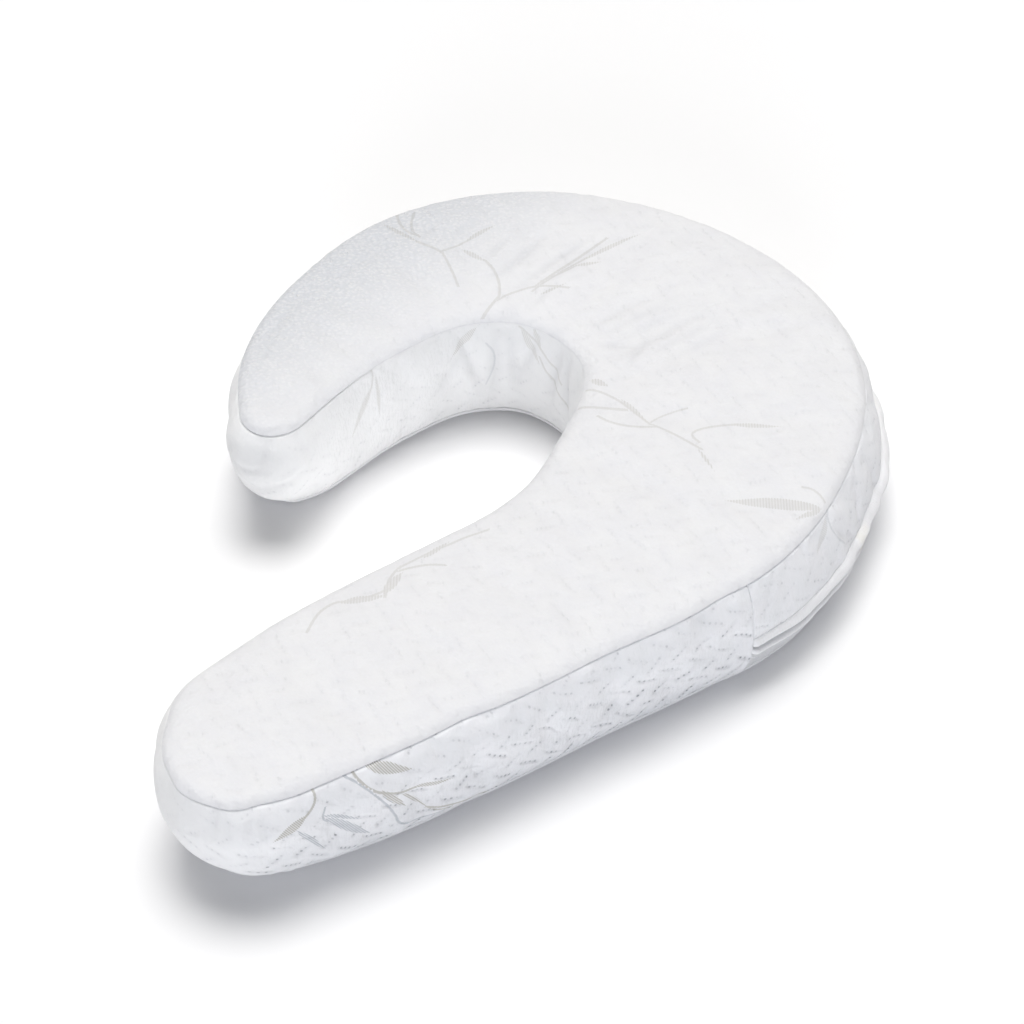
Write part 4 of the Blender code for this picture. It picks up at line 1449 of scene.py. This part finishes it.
# The panels' knit is fine, flat and taut over the filling. The eye gets a matt white with
# faint pits of painted shade and pale sprigs, their thread painted paler than on the band for
# the brighter light on the top.
panel_cloth = knitted_cloth(
    "double_knit_panel", "panel", tones=("#e9e9ec", "#ececee"), pin=LONG_PIN,
    hatch=lines_apart(*ASKEW, 1.9), between=0.5, thread_strength=0.29,
    pin_shade=0.045, line_shade=0.028, relief=0.36)
# The band is the same knit, slacker and seen from the side, its ground painted lighter than
# the panels' for the light on its upright sides. The eye gets its rows of pins as small pits
# with painted shade, low puffs between them, and darker sprigs.
band_cloth = knitted_cloth(
    "double_knit_band", "band", tones=("#f3f4f7", "#f6f6f9"), pin=ROUND_PIN,
    hatch=lines_apart(0.85, 0.5, 1.3), between=0.35, thread_strength=0.72,
    pin_shade=0.8, line_shade=0.176, relief=1.2)
# The flaps' cloth is smooth, so the eye gets a clean white edge, creamy in spots.
flap_cloth = folded_cloth("folded_tricot", tones=("#f3f3f5", "#ebe7d9"),
                          ribs=lines_apart(1, 0, 2.2), rib_height=0.03)
# The strip under the zip is ribbed on the slant, and its tones are greyer than the flaps'.
ribbed_cloth = folded_cloth("ribbed_tricot", tones=("#e4e5e8", "#dededd"),
                            ribs=(1.6, 2.9, 0), rib_height=0.3)

# The top is woven with sprigs above the first of these heights, and the underside below
# the last. Puckers are marked on the top alone, well above the middle one.
TOP_FROM, MARKED_FROM, UNDERSIDE_TO = 93.5, 60.0, 6.0
# Only creases narrower than this get painted shade, by this share for each millimetre.
NARROW, SHADE_SHARE = 8.0, 0.4
cover_points = points_of(cover)
heights = cover_points[:, 2]
mark_folds(cover, puckered(cover_points) * (heights > MARKED_FROM))
weave_sprigs(cover, cover_points[:, :2], TOP_LEAVES, TOP_STEMS,
             (heights > TOP_FROM) | (heights < UNDERSIDE_TO))
narrow = [crease for crease in BAND_CREASES if crease.wide < NARROW and crease.depth > 0]
for strip in (band, upper_strip):
    flat_band = along_the_band(strip)
    weave_sprigs(strip, flat_band, BAND_LEAVES, BAND_STEMS, np.ones(len(flat_band)))
    mark_folds(strip, SHADE_SHARE * creased(*flat_band.T, narrow))
for piece, material in ((cover, panel_cloth), (band, band_cloth),
                        (upper_strip, band_cloth), (upper_flap, flap_cloth),
                        (lower_flap, flap_cloth), (lower_strip, ribbed_cloth)):
    piece.data.materials.append(material)


# ---------------------------------------------------------------- floor, light, camera
# In metres. The camera looks from this far round the pillow, up and away.
FLOOR_SIZE = 16
LOOK_AT = Vector((0.0360, -0.0018, 0.0))
AZIMUTH, ELEVATION, DISTANCE = radians(-31.65), radians(47.5), 2.07
LENS, SENSOR = 105.47, 36.0
# A small white card stood in the hollow: its size, its light, its place and what it faces.
CARD_SIZE, CARD_LIGHT = (0.13, 0.07), 0.046
CARD_AT = Vector((-0.025, -0.046, 0.045))
CARD_FACES = Vector((0.010, 0.090, 0.035))
# Soft banks of light: degrees round from the camera, degrees up, their spread, how strong
# and what colour. They stand this far off, and the rest of the room is dim.
Bank = namedtuple("Bank", "name round_by lift spread strength colour")
STUDIO_BANKS = [
    Bank("bank_behind", 180, 72, 36, 1.54, "#fffefc"),
    Bank("bank_behind_right", 135, 70, 34, 0.7, "#fffefc"),
    Bank("bank_behind_left", 215, 70, 34, 0.6, "#fffefc"),
    Bank("bank_front", -5, 12, 30, 1.0, "#f6f9ff"),
    Bank("bank_high_front", -5, 30, 50, 0.3, "#f4f8ff"),
]
BANKS_OFF = 3.0
ROOM_LIGHT = 0.1


def lay_floor():
    bpy.ops.mesh.primitive_plane_add(size=FLOOR_SIZE, location=(0, 0, 0))
    floor = bpy.context.object
    floor.name = "studio_floor"
    # Matt white paper, so the eye gets an even white with nothing mirrored in it.
    material = new_material("white_paper_backdrop", {
        "Base Color": linear("#fbfbfc"), "Roughness": 0.95, "Specular IOR Level": 0.1})[0]
    floor.data.materials.append(material)


def seen_from(azimuth, elevation, distance):
    """A point in a direction from the middle. Azimuth 0 is in front of it, at -Y."""
    return LOOK_AT + distance * Vector((sin(azimuth) * cos(elevation),
                                        -cos(azimuth) * cos(elevation), sin(elevation)))


def facing(way):
    """The turn of a light or a camera that looks this way."""
    return way.to_track_quat("-Z", "Y").to_euler()


def soft_light(bank, place):
    """A wide, even bank of soft light over the whole floor, from the side of a place."""
    data = bpy.data.lights.new(bank.name, "SUN")
    data.angle = radians(bank.spread)
    data.energy = bank.strength
    data.color = linear(bank.colour)[:3]
    light = put_in_scene(bank.name, data)
    light.location = place
    light.rotation_euler = facing(LOOK_AT - place)


def light_the_hollow():
    """The card gives its own light here, and the camera doesn't see it."""
    data = bpy.data.lights.new("hollow_card", "AREA")
    data.shape = "RECTANGLE"
    data.size, data.size_y = CARD_SIZE
    data.energy = CARD_LIGHT
    light = put_in_scene("hollow_card", data)
    light.location = CARD_AT
    light.rotation_euler = facing(CARD_FACES - light.location)
    light.visible_camera = False


def set_studio():
    world = bpy.data.worlds.new("white_studio")
    world.use_nodes = True
    world.node_tree.nodes["Background"].inputs["Color"].default_value = (1, 1, 1, 1)
    world.node_tree.nodes["Background"].inputs["Strength"].default_value = ROOM_LIGHT
    bpy.context.scene.world = world
    bpy.context.scene.view_settings.view_transform = "Standard"
    for bank in STUDIO_BANKS:
        place = seen_from(AZIMUTH + radians(bank.round_by), radians(bank.lift), BANKS_OFF)
        soft_light(bank, place)
    light_the_hollow()
    data = bpy.data.cameras.new("camera")
    data.lens = LENS
    data.sensor_width = SENSOR
    camera = put_in_scene("camera", data)
    camera.location = seen_from(AZIMUTH, ELEVATION, DISTANCE)
    camera.rotation_euler = facing(LOOK_AT - camera.location)
    bpy.context.scene.camera = camera


lay_floor()
set_studio()

# ---------------------------------------------------------------- what stands for what
for piece, node, slot in ((cover, "filled_pillow", "panel_knit"),
                          (band, "side_band", "band_knit"),
                          (upper_strip, "zip_band_upper", "band_knit"),
                          (lower_strip, "zip_band_lower", "strip_knit"),
                          (upper_flap, "placket_upper", "folded_placket"),
                          (lower_flap, "placket_lower", "folded_placket")):
    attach(piece, "root")
    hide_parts(node)
